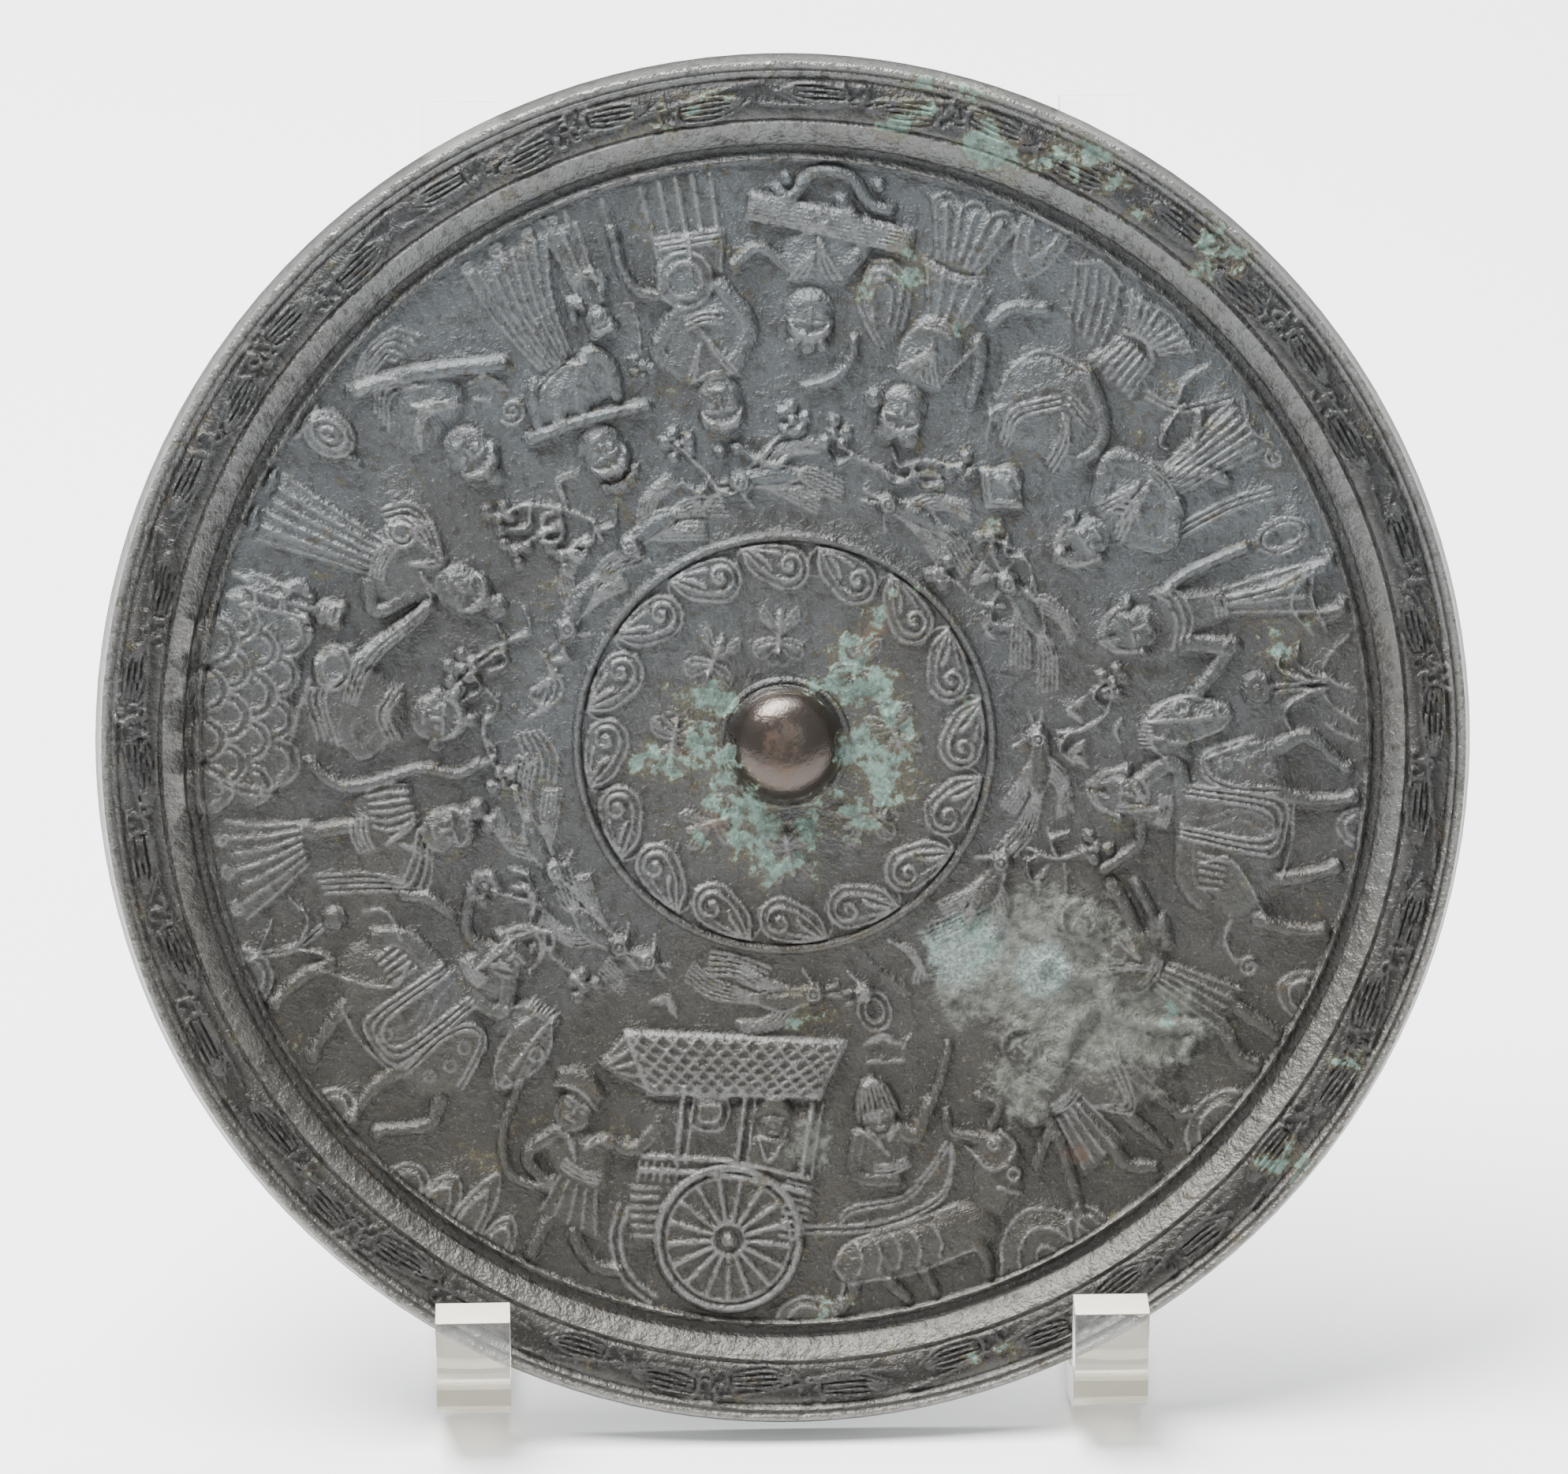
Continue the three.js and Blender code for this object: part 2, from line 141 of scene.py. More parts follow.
def stamp_pad(layer, points, height, edge):
    """A filled outline with a soft shoulder."""
    part = window(points, 0.5)
    x, y = GRID_X[part], GRID_Y[part]
    inside = np.zeros(x.shape, bool)
    gap = np.full(x.shape, HALF)
    for (ax, ay), (bx, by) in zip(points, np.roll(points, -1, axis=0)):
        dx, dy = bx - ax, by - ay
        t = (((x - ax) * dx + (y - ay) * dy) / (dx * dx + dy * dy + TINY)).clip(0, 1)
        np.minimum(gap, np.hypot(x - ax - t * dx, y - ay - t * dy), out=gap)
        crosses = (ay > y) != (by > y)
        inside ^= crosses & (x < dx * (y - ay) / (dy + TINY ** 2) + ax)
    rise = np.where(inside, 1 - np.exp(-gap / edge), 0)
    np.maximum(layer[part], height * rise, out=layer[part])


def stamp_dome(layer, x0, y0, rx, ry, turn, height):
    """A flattened dome, such as a head or a fruit."""
    part = window(np.array([[x0, y0]]), max(rx, ry))
    x, y = GRID_X[part] - x0, GRID_Y[part] - y0
    u = (x * cos(turn) + y * sin(turn)) / rx
    v = (y * cos(turn) - x * sin(turn)) / ry
    rise = np.sqrt((1 - u * u - v * v).clip(0, 1))
    np.maximum(layer[part], height * rise, out=layer[part])


print("three stamps are ready for a board of", round(SIDE * CELL), "mm")

# %% [markdown]
# ## A carver's hand
#
# Everything on the mirror stands near its rim or on a ring, with its head to the centre. A
# stiff thing, such as a wheel, is drawn upright in a small frame of its own, and the frame
# is turned into place. The hand below knows where its frame is and has a few strokes: a
# line, a pad with corners, a blob without, a dome, an arc, a ring, a spiral and a row.

# %% The hand
GROUND = 101.0           # circle that the figures stand on
ARC_STEP = 25            # degrees from one point of an arc to the next
SPIRAL_POINTS = 9        # points in one turn of a spiral
SPIRAL_CLOSE = 0.8       # share of its radius that a spiral winds in


class Hand:
    """Draws in a local frame: x along the circle, y from a radius towards the centre."""

    def __init__(self, at, radius=GROUND, flip=1, lean=0.0):
        a = radians(at)
        out = np.array([cos(a), sin(a)])
        along = np.array([-sin(a), cos(a)])
        c, s = cos(radians(lean)), sin(radians(lean))
        self.origin = out * radius
        self.ex = (along * c + out * s) * flip
        self.ey = along * s - out * c

    def place(self, points):
        """Points of the local frame on the board."""
        p = np.array(points, float).reshape(-1, 2)
        return self.origin + p[:, :1] * self.ex + p[:, 1:] * self.ey

    def line(self, *points, w=0.9, end=None, h=0.5):
        path = smooth(self.place(points))
        stamp_line(lines, path, w, w if end is None else end, h)

    def pad(self, *points, h=0.7, edge=0.45):
        stamp_pad(forms, self.place(points), h, edge)

    def blob(self, *points, h=0.7, edge=0.45):
        """A pad with a smooth outline."""
        p = self.place(points)
        looped = np.vstack([p[-1:], p, p[:2]])
        steps = 4
        stamp_pad(forms, smooth(looped, steps)[steps:-steps - 1], h, edge)

    def dome(self, x, y, rx, ry=None, h=1.0, onto=forms):
        (px, py), = self.place([(x, y)])
        angle = atan2(self.ex[1], self.ex[0])
        stamp_dome(onto, px, py, rx, rx if ry is None else ry, angle, h)

    def arc(self, x, y, r, start, stop, w=0.8, h=0.5, ry=None):
        steps = max(4, int(abs(stop - start) / ARC_STEP) + 2)
        ry = r if ry is None else ry
        a = np.radians(np.linspace(start, stop, steps))
        self.line(*np.column_stack([x + r * np.cos(a), y + ry * np.sin(a)]), w=w, h=h)

    def ring(self, x, y, r, w=0.8, h=0.5, ry=None):
        self.arc(x, y, r, 0, 360, w, h, ry)

    def spiral(self, x, y, r, turns=1.3, start=0.0, w=0.8, h=0.5):
        a = np.linspace(0, turns * 2 * pi, int(turns * SPIRAL_POINTS) + 3)
        reach = r * (1 - SPIRAL_CLOSE * a / a[-1])
        a = a + radians(start)
        self.line(*np.column_stack([x + reach * np.cos(a), y + reach * np.sin(a)]), w=w, h=h)

    def row(self, count, a, b, w=0.7, h=0.4):
        """Strokes from one path to another: a and b each hold two or three points."""
        first, last = np.array(a, float), np.array(b, float)
        for i in range(count):
            t = i / max(1, count - 1)
            self.line(*(first + (last - first) * t), w=w, h=h)


print("the hand works on a circle of", GROUND, "mm")

# %% [markdown]
# ## Drawing round the ring
#
# The procession runs round the disc, so its figures bend with it. They could be drawn
# straight and bent afterwards. It is simpler to draw them in the bent frame at once: the
# ring hand below takes an angle in degrees and a height above the ground line in
# millimetres. The old carver drew with raised threads, often in pairs, over a low soft
# body, and so does this.

# %% The ring hand


class Ring(Hand):
    """Draws round the disc: x is an angle, and y a height above the ground circle."""

    turn = 0.0           # added to every angle

    def __init__(self):
        super().__init__(0)

    def place(self, points):
        p = np.array(points, float).reshape(-1, 2)
        a, r = np.radians(p[:, 0] + self.turn), GROUND - p[:, 1]
        return np.column_stack([r * np.cos(a), r * np.sin(a)])

    def spot(self, at, high):
        """A straight hand whose origin is at this angle and height."""
        return Hand(at + self.turn, GROUND - high)


ring = Ring()
print("one degree of the ground circle is", round(GROUND * radians(1), 2), "mm long")

# %% Threads
THREAD = 0.58            # usual width of a raised thread
CREST = 0.42             # and its height
FINE = 0.5               # width of the threads in a pair
HEM = 0.45               # width of the threads along a limb
HEM_HIGH = 0.2           # and their height
HEM_PLACE = 0.42         # and their place, as a share of its width


def thread(*points, w=THREAD, h=CREST):
    ring.line(*points, w=w, h=h)


def folds(count, a, b, w=0.52):
    """A row of threads from one path to another."""
    ring.row(count, a, b, w=w, h=CREST)


def offset(path, shift):
    """The same path, moved sideways."""
    step = np.gradient(path, axis=0)
    normal = np.column_stack([-step[:, 1], step[:, 0]])
    normal /= np.linalg.norm(normal, axis=1, keepdims=True) + TINY
    return path + normal * np.atleast_1d(shift)[:, None]


def twin(*points, gap=1.0):
    """Two threads side by side."""
    path = smooth(ring.place(points))
    for side in (-0.5, 0.5):
        stamp_line(lines, offset(path, side * gap), FINE, FINE, CREST)


def limb(*points, w=3.2, end=None, h=0.9):
    """An arm, leg or strap: a low round stroke between two threads."""
    path = smooth(ring.place(points))
    end = w if end is None else end
    stamp_line(forms, path, w, end, h)
    away = np.linspace(w, end, len(path)) * HEM_PLACE
    for side in (-1, 1):
        stamp_line(lines, offset(path, side * away), HEM, HEM, HEM_HIGH)


print("a thread is", THREAD, "mm wide and", CREST, "mm high")

# %% Pads, beads and curls


def body(*points, h=0.6, edge=1.5):
    """A low soft form under the threads."""
    ring.blob(*points, h=h, edge=edge)


def knob(at, high, rx, ry=None, h=1.1):
    ring.spot(at, high).dome(0, 0, rx, ry, h=h)


def ball(at, high, r):
    """A small bead with a ring round it."""
    spot = ring.spot(at, high)
    spot.dome(0, 0, r, h=1.2)
    spot.ring(0, 0, r * 0.95, w=0.45, h=0.25)


def curl(at, high, r, start=0, turns=1.4):
    ring.spot(at, high).spiral(0, 0, r, turns=turns, start=start, w=0.6, h=CREST)


def hoop(at, high, rx, ry=None, w=0.65):
    ring.spot(at, high).ring(0, 0, rx, w=w, h=CREST, ry=ry)


def drawn(what):
    """Say what was drawn, and how much of the board has lines on it by now."""
    print(what, "drawn; lines cover", round(float((lines > 0).mean() * 100), 1), "% of the board")


strokes = (thread, folds, twin, limb, body, knob, ball, curl, hoop)
print("strokes round the ring:", [stroke.__name__ for stroke in strokes])

# %% [markdown]
# ## Heads
#
# The real heads are a few millimetres high and worn smooth. A head here is a small dome
# with brows, eyes, nose and mouth, and one of a few headdresses. The features are one plain
# pattern for everybody: at this size more would only blur together.

# %% Heads


def face(at, high, r):
    p = ring.spot(at, high)
    p.dome(0, 0, r, r * 1.12, h=1.15)
    p.arc(0, 0, r, 195, 345, w=0.6, h=0.3, ry=r * 1.14)
    for side in (-1, 1):
        x = side * r * 0.42
        p.line((x - r * 0.26, r * 0.34), (x + r * 0.26, r * 0.36), w=0.55, h=0.36)
        p.dome(x, r * 0.06, r * 0.2, r * 0.13, h=0.34, onto=lines)
    p.line((0, r * 0.3), (0, -r * 0.28), w=0.6, h=0.36)
    p.line((-r * 0.26, -r * 0.58), (r * 0.26, -r * 0.58), w=0.6, h=0.4)


def kerchief(at, high, r, knob_on_top=False):
    """A tied cloth that falls in two rolls beside the face."""
    p = ring.spot(at, high)
    for side in (-1, 1):
        for lift in (0, 0.9):
            p.line((side * 0.5, r * 1.75 + lift), (side * r * 0.95, r * 1.1 + lift),
                   (side * r * 1.36, lift), w=0.65, h=CREST)
        p.dome(side * r * 1.42, -0.2, 0.95, h=1.15)
        p.blob((0, r * 1.7), (side * r * 0.8, r), (side * r * 1.2, 0.2), (side * r * 0.7, 0.4), h=0.9)
    if knob_on_top:
        p.dome(0, r * 1.75, 1.25, h=1.25)
        p.ring(0, r * 1.75, 1.2, w=0.5, h=0.35)


def hair(at, high, r, buns=(), stripes=4):
    """Combed hair over a face, with buns given as (x, y, radius)."""
    p = ring.spot(at, high)
    p.blob((-r, r * 0.3), (-r * 0.85, r), (0, r * 1.42), (r * 0.85, r), (r, r * 0.3), (0, r * 0.75),
           h=1.3)
    p.arc(0, 0, r * 0.98, 15, 165, w=0.7, h=CREST)
    p.row(stripes, [(-r * 0.75, r * 0.7), (-r * 0.45, r * 1.2)],
          [(r * 0.75, r * 0.7), (r * 0.45, r * 1.2)], w=0.45, h=0.34)
    for x, y, size in buns:
        p.dome(x, y, size, h=1.35)
        p.arc(x, y, size, 0, 360, w=0.5, h=0.3)


print("a head is covered by a", kerchief.__name__, "or by", hair.__name__)

# %% [markdown]
# ## Robes
#
# Crossed lapels, a belt of a few strokes and long hanging folds come back on nearly every
# figure, and so do leaves and rocks at their feet. Each could be drawn anew. A function that
# takes the corners and sets the threads between them is shorter, and keeps them alike.

# %% Parts of a robe


def lapels(left, right, meet, count=2):
    """Crossed lapels from two shoulders down to where they meet."""
    for k in range(count):
        shift = k * 0.95
        thread((left[0] + shift, left[1]), ((left[0] + meet[0]) / 2 + shift * 0.7,
               (left[1] + meet[1]) / 2 + 0.6), meet)
        thread((right[0] - shift, right[1]), ((right[0] + meet[0]) / 2 - shift * 0.6,
               (right[1] + meet[1]) / 2 + 0.9), (meet[0] + 0.5, meet[1] + 2.4))


def belt(at0, at1, high, count=3, rise=0.9):
    """A sash of a few sagging threads."""
    for k in range(count):
        y = high + k * rise
        thread((at0, y), ((at0 + at1) / 2, y - 0.5), (at1, y + 0.1), w=0.6)


def skirt(at0, at1, top, hem0, hem1, low, count=5, sway=0.0):
    """Hanging folds that widen to the hem."""
    body((at0, top), (at1, top), (hem1, low + 1), (hem1 - 0.3, low - 0.6), (hem0 + 0.3, low - 0.6),
         (hem0, low + 1))
    middle = (top + low) / 2
    folds(count, [(at0, top), ((at0 + hem0) / 2 + sway, middle), (hem0, low)],
          [(at1, top), ((at1 + hem1) / 2 + sway, middle), (hem1, low)])


print("parts of a robe:", [part.__name__ for part in (lapels, belt, skirt)])

# %% Leaves and rocks
LEAF_HIGH = 0.45


def curved_leaf(*points, w=1.3):
    """A leaf that swells and ends in a point, with a thread along its middle."""
    path = smooth(ring.place(points))
    half = len(path) // 2 + 1
    stamp_line(forms, path[:half], w * 0.4, w, LEAF_HIGH)
    stamp_line(forms, path[half - 1:], w, 0.3, LEAF_HIGH)
    stamp_line(lines, path, 0.55, 0.4, CREST)


def hump(at, wide, high, rings=2):
    """A rock or hillock on the ground line, wide in degrees."""
    body((at - wide, -0.6), (at - wide * 0.7, high * 0.6), (at, high), (at + wide * 0.7, high * 0.6),
         (at + wide, -0.6), h=0.7)
    for k in range(rings):
        f = 1 - 0.4 * k
        thread((at - wide * f, 0), (at - wide * 0.72 * f, high * 0.62 * f), (at, high * f),
               (at + wide * 0.72 * f, high * 0.62 * f), (at + wide * f, 0))


print("a leaf is", LEAF_HIGH, "mm high")

# %% [markdown]
# ## The covered cart
#
# The biggest thing in the procession is a cart with a lattice roof, a window, a passenger,
# slatted sides and a great spoked wheel. It could be bent round the ring like the people,
# but it is straight and stiff, so all of it is drawn in one upright frame, in millimetres.

# %% Wheel and lattice
SPOKES = 17


def wheel(at, radius):
    p = Hand(at, radius)
    p.dome(0, 0, 13.2, h=1.2)
    p.ring(0, 0, 12.5, w=1.5, h=0.8)
    p.ring(0, 0, 10.9, w=0.6, h=0.4)
    for k in range(SPOKES):
        a = 2 * pi * k / SPOKES
        p.line((3 * cos(a), 3 * sin(a)), (10.6 * cos(a), 10.6 * sin(a)), w=0.9, h=0.55)
    p.dome(0, 0, 3.2, h=1.9)
    p.ring(0, 0, 2.8, w=0.7, h=0.6)
    p.dome(0, 0, 1.3, h=1.0, onto=lines)


def lattice(p, corners, across, down):
    """Crossing threads between two edges of a four-cornered field."""
    a, b, c, d = (np.array(corner, float) for corner in corners)

    def spot(u, v):
        v = min(1, max(0, v))
        return (a * (1 - u) + b * u) * (1 - v) + (d * (1 - u) + c * u) * v

    for k in range(-down, across + down + 1):
        for slant in (1, -1):
            start, stop = k / across, (k + slant * down) / across
            run = [(start + (stop - start) * t, t) for t in np.linspace(0, 1, 25)]
            kept = [spot(u, v) for u, v in run if 0 <= u <= 1]
            if len(kept) > 1:
                p.line(kept[0], kept[-1], w=FINE, h=CREST)
    for u in range(across):
        for v in range(down):
            x, y = spot((u + 0.5) / across, (v + 0.5) / down)
            p.dome(x, y, 0.42, h=0.3, onto=lines)


print("a wheel has", SPOKES, "spokes")

# %% The cart
WHEEL_RADIUS = 87.4      # of the circle round the disc that the wheel's middle is on


def cart(at):
    p = Hand(at)
    p.blob((-18, 40), (-14, 36), (12, 38), (14.6, 36.6), (15, 30), (14, 14), (-15, 11), (-16.4, 30),
           h=0.5, edge=1.2)
    roof = [(-21, 47.4), (17.4, 50.4), (14, 40.2), (-15.6, 37.2)]
    p.pad(*roof, h=0.9)
    lattice(p, roof, 12, 4)
    for start, stop in zip(roof, roof[1:] + roof[:1]):
        p.line(start, stop, w=1.0, h=0.6)
    p.pad((-21, 47.4), (-15.6, 37.2), (-25, 41), h=0.8)
    p.row(5, [(-21, 46.6), (-24.6, 41.4)], [(-16.4, 38), (-22, 39.8)], w=0.6)
    for x in (-9.6, 1.2, 13):
        p.line((x, 39), (x * 0.98, 26), w=1.2, h=0.7)
        p.line((x + 1.8, 39), (x * 0.98 + 1.8, 26), w=0.6, h=0.5)
    p.pad((-7.6, 38), (-1.6, 38.4), (-2, 32.6), (-7.4, 32.4), h=1.3)
    for inset in (0, 1.2):
        p.line((-7.6 + inset, 37.6 - inset), (-1.8 - inset, 37.8 - inset),
               (-2 - inset, 32.8 + inset), (-7.4 + inset, 32.6 + inset),
               (-7.6 + inset, 37.6 - inset), w=0.5, h=0.4)
    face(at + 5.7, 34.4, 2.7)
    p.blob((3.4, 35.6), (4.2, 38.6), (6.6, 39.6), (9, 38.6), (9.8, 35.6), (6.6, 36.8), h=1.8)
    p.blob((3, 31.6), (4.6, 32.6), (8.8, 32.6), (10.6, 31.4), (11, 27), (2.6, 27), h=1.6)
    p.line((4.4, 32), (6.6, 28), (8.8, 32), w=0.6)
    for y in (26.2, 23.8):
        p.line((-15.4, y), (0, y + 0.9), (14.4, y - 0.3), w=1.0, h=0.6)
    p.row(8, [(10.4, 25), (14.8, 24.4)], [(10.2, 15.4), (14.4, 15)], w=0.6, h=0.45)
    p.row(6, [(-16.6, 20.4), (-11.6, 21)], [(-15.4, 12), (-11.4, 12.4)], w=0.7)
    p.row(6, [(-15.8, 25.4), (-15.6, 22)], [(-9, 25.8), (-9, 22.4)], w=0.5)
    for r in (13, 11.4):
        p.arc(-6, 12.6, r, 160, 250, w=0.9)
    wheel(at + 1, WHEEL_RADIUS)


print("the wheel's middle is", round(GROUND - WHEEL_RADIUS, 1), "mm above the ground line")

# %% [markdown]
# ## Borders
#
# Three bands of repeated ornament frame the procession: eight insects round the boss, sixteen
# cloud scrolls, and on the rim an undulating vine with ribbed leaves and curls in every
# bend. Each band has one motif, drawn by a function and set round the disc by a loop, so
# that the spacing is even. A seeded generator varies the length of the leaves a little.

# %% Insect
INSECT_BAND = 19.4       # radii of the three bands
SCROLL_BAND = 35.2
VINE_BAND = 112.2


def winged_motif(at, lean):
    """A finely drawn insect: ringed body, four veined wings and feelers."""
    p = Hand(at, INSECT_BAND, lean=lean)
    p.line((0, -3.4), (0, 3.2), w=1.3, end=1.0, h=0.55)
    for k in range(6):
        p.line((-0.7, -3 + k), (0.7, -3 + k), w=0.38, h=0.3)
    p.dome(0, 3.8, 0.8, h=0.7)
    for side in (-1, 1):
        for root, tip, out in ((1.8, 3.4, 4.4), (-0.6, -2.6, 3.4)):
            p.blob((side * 0.5, root + 0.8), (side * out * 0.6, tip + 1.2), (side * out, tip),
                   (side * out * 0.8, tip - 1.8), (side * 0.5, root - 0.9), h=0.22, edge=0.6)
            p.line((side * 0.5, root + 0.8), (side * out * 0.6, tip + 1.2), (side * out, tip),
                   (side * out * 0.8, tip - 1.8), (side * 0.5, root - 0.9), w=0.42, h=0.36)
            for k in (0.3, 0.7):
                p.line((side * 0.6, root), (side * out * 0.85, tip + 0.9 - 2.2 * k), w=0.36, h=0.28)
        p.arc(side * 0.9, 5, 0.8, 90 - side * 90, 90 + side * 100, w=0.38, h=0.3)


INSECTS = {4: 70, 48: -30, 92: 5, 128: 60, 180: -80, 226: 30, 272: -10, 316: 120}
for at, lean in INSECTS.items():
    winged_motif(at, lean)
drawn(f"{len(INSECTS)} insects")

# %% Cloud scroll
SCROLLS = 16


def cloud_scroll(at):
    """A fat comma that fills its band: a coiled head round a pearl and a ribbed, swept tail."""
    p = Hand(at, SCROLL_BAND)
    outline = [(6, 1), (4.6, 4.6), (1.6, 6.8), (-1.8, 8.2), (-4.7, 7), (-5.6, 4.2), (-4.2, 1.6),
               (-1, 0.6), (2.6, 0.4), (6, 1)]
    p.blob(*outline[:-1], h=0.4, edge=0.7)
    p.line(*outline, w=0.68, h=0.5)
    p.spiral(-2.3, 4.1, 2.7, turns=1.25, start=60, w=0.72, h=0.5)
    p.dome(-2.3, 4.1, 1.0, h=1.2)
    p.line((5.2, 1.6), (3, 4), (0.8, 5.7), (-1.8, 6.9), w=0.6, h=0.42)
    p.line((4.4, 1.3), (2, 2.9), (0.9, 4.4), w=0.6, end=0.9, h=0.5)
    p.line((3.8, 1), (1, 1.5), (-0.9, 2), w=0.55, h=0.42)
    p.line((6.2, 0.6), (6.9, 3), (5.8, 5.8), (6.3, 7.4), w=0.5, end=0.36, h=0.34)


for k in range(SCROLLS):
    cloud_scroll(2 + 360 / SCROLLS * k)
drawn(f"{SCROLLS} scrolls")

# %% Vine
WAVES = 21
SWING = 1.9              # how far the stem swings out from the middle of the rim
vary = np.random.default_rng(7)


def vine_segment(at, wave, outward):
    """One S of the vine with its two ribbed leaves and the curls between them."""
    p = Hand(at, VINE_BAND, flip=outward)
    long = radians(wave) * VINE_BAND
    swing = SWING * outward
    t = np.linspace(-0.5, 0.5, 11)
    p.line(*np.column_stack([t * long, swing * np.sin(t * pi)]), w=0.6, h=0.5)
    for side in (-1, 1):
        x, y = side * long * 0.24, -side * swing * 0.5
        reach = float(vary.uniform(4.6, 5.6))
        p.row(4, [(x - reach, y - 0.3), (x - 1, y - 1.5), (x + reach, y - 1.3)],
              [(x - reach, y + 0.3), (x - 1, y + 1.5), (x + reach, y + 1.1)], w=0.52, h=0.6)
        p.line((x - reach - 1.4, y + 0.4), (x - 1, y + 2.4), (x + reach, y + 2),
               (x + reach + 1, y), (x + reach, y - 2.2), w=0.52, h=0.5)
        for k in range(3):
            p.arc(x + reach + 2 + 1.4 * k, y + 0.9 * (-1) ** k, 1.0, 180 * (k % 2),
                  180 * (k % 2) + 250, w=0.55, h=0.6)


for k in range(WAVES):
    vine_segment(203 + 360 / WAVES * k, 360 / WAVES, 1 if k % 2 else -1)
drawn(f"{WAVES} bends of the vine")

# %% [markdown]
# ## The procession, right side
#
# Going round from the right of the disc come a rider, attendants, musicians and a lady,
# each on the ground line. They could share one body, as toy soldiers do, but the old
# carver gave each a pose of its own. So every figure has its own corners and only the
# parts of its robe are shared. Angles are in degrees from the right, heights in
# millimetres.

# %% Horse


def saddle_cloth(left, right, top, low):
    """Three nested rounded threads over a pad."""
    body((left, top), (right, top), (right - 0.3, low + 2), (right - 1.4, low), (left + 1.4, low),
         (left + 0.3, low + 2), h=0.85)
    for k in range(3):
        i, lift = k * 0.75, k * 1.15
        thread((left + i, top), (left + 0.2 + i, low + 4 + lift), (left + 1 + i, low + 0.6 + lift),
               ((left + right) / 2, low + lift), (right - 1 - i, low + 0.6 + lift),
               (right - 0.2 - i, low + 4 + lift), (right - i, top), w=0.62)


def horse_leg(*points):
    limb(*points, w=2.6, end=1.5)
    at, high = points[-1]
    ball(at + 0.2, high - 0.3, 1.15)


def horse():
    """A harnessed horse under its saddle cloth."""
    body((339, 24), (341, 28.5), (346, 30), (354, 30), (358.5, 28), (360, 20), (358.5, 14), (353, 11.4),
         (345, 11.4), (340, 13), (338, 18), h=1.5, edge=3.5)
    limb((338.4, 22.4), (340.6, 27), (346, 29), w=3.4)
    folds(5, [(340.2, 24.6), (340.8, 20.6)], [(344.4, 26), (344.4, 21)])
    thread((343.4, 25), (344.9, 21), (342.4, 16), (339, 11))
    horse_leg((339, 13), (338.9, 8), (339.9, 1.6))
    horse_leg((343.8, 11.6), (345, 7), (346.4, 2.6))
    thread((344, 11), (348, 10.6), (352.4, 11.4))
    horse_leg((353.6, 14), (353.1, 8), (353.8, 1.6))
    horse_leg((359, 14.4), (360.2, 10), (358, 5.4), (356.6, 3))
    twin((354, 14), (353.7, 22), (355, 27), (357.6, 27.4), (359.2, 22), (359.8, 18.4))
    for at, high in ((356.6, 24), (357, 20), (356.2, 16.2)):
        ball(at, high, 1.1)
    body((357, 30), (357.6, 37), (360, 39), (364, 38), (366, 33), (365.4, 26), (363.6, 22.6), (361, 24),
         (359.6, 30), h=1.3, edge=2)
    thread((362.6, 38.6), (365.4, 34.4), (366, 30), (365, 26), (363.8, 23.2))
    thread((360.4, 37), (359.6, 31), (361.2, 25), (363.2, 22.6))
    thread((362.7, 38), (362.9, 31), (363, 26.4))
    hoop(364.5, 31.6, 1.2)
    hoop(363.7, 24.3, 1.0)
    folds(6, [(358.6, 39), (358.8, 36.6)], [(362.2, 39.4), (362, 37)], w=0.45)
    thread((356.6, 34), (358.6, 36.6), (361, 37.4))
    saddle_cloth(346, 353.4, 30.4, 12)


horse()
drawn("horse")

# %% Rider


def rider():
    limb((348, 30), (348.6, 26), (350.2, 22), (350.4, 18.6), (349.4, 15.4), w=2.2)
    ball(349.2, 14.8, 1.2)
    body((347, 33), (346.6, 38), (348.4, 41.6), (353, 40), (356, 35), (352, 31), h=1.0)
    lapels((347.8, 42), (352.8, 39.4), (349.4, 34.6))
    belt(347, 351.4, 32.8, 4, 0.7)
    limb((353.2, 38.4), (356.2, 34.4), (355.6, 32), (351, 30.4), w=2.8)
    limb((337.4, 41.4), (341, 38.4), (344, 36.6), (347.4, 37.6), w=1.7)
    face(351, 40.6, 3.3)
    kerchief(351, 41.4, 3.0)


rider()
hump(351, 1.9, 3.4)
drawn("rider")

# %% Round flower
PETALS = 8
for k in range(PETALS):
    a = 2 * pi * k / PETALS
    ring.spot(366, 18).dome(2 * cos(a), 2 * sin(a), 0.95, h=1.0)
knob(366, 18, 1.1, h=1.2)
twin((365.7, 15.4), (365.6, 7), gap=1.2)
curved_leaf((360.6, 12.4), (363, 13.6), (364.8, 9.4), (365.2, 5.6))
curved_leaf((369.8, 12.8), (368, 13.8), (366.4, 9.6), (365.9, 6))
curved_leaf((370.2, 9.8), (368.2, 10.6), (366.6, 7.4), (366, 4.4))
for a, b in ((359.6, 361.4), (361.4, 364.4), (364.6, 366.8), (370.2, 367.4)):
    thread((a, 0.8), ((a + b) / 2, 4.4), (b, 6.4))
drawn("flower")

# %% Attendant with a long-handled fan
face(17.6, 36.4, 3.5)
kerchief(17.8, 36.8, 3.2)
body((13, 31), (21.6, 32), (20.6, 26), (18.6, 20), (15.6, 20), (14.6, 26), h=0.8)
for lift in (0, 1.5, 3):
    thread((13 + lift * 0.2, 31.6 - lift), (16.4, 29.6 - lift), (20, 30 - lift), (21.6, 32.2 - lift))
limb((13.6, 29.4), (12.4, 24.4), (11.6, 21), w=3.2)
limb((11.6, 21.4), (9, 25), (6.2, 28.8), w=2.4)
belt(15.6, 18.8, 20.8, 3)
skirt(15.8, 18.8, 20, 13.4, 18.4, 6, 4)
thread((11, 6.8), (14.8, 9.4), (18.2, 4.6))
thread((11, 4.4), (14.6, 5.6), (17.8, 3.8))
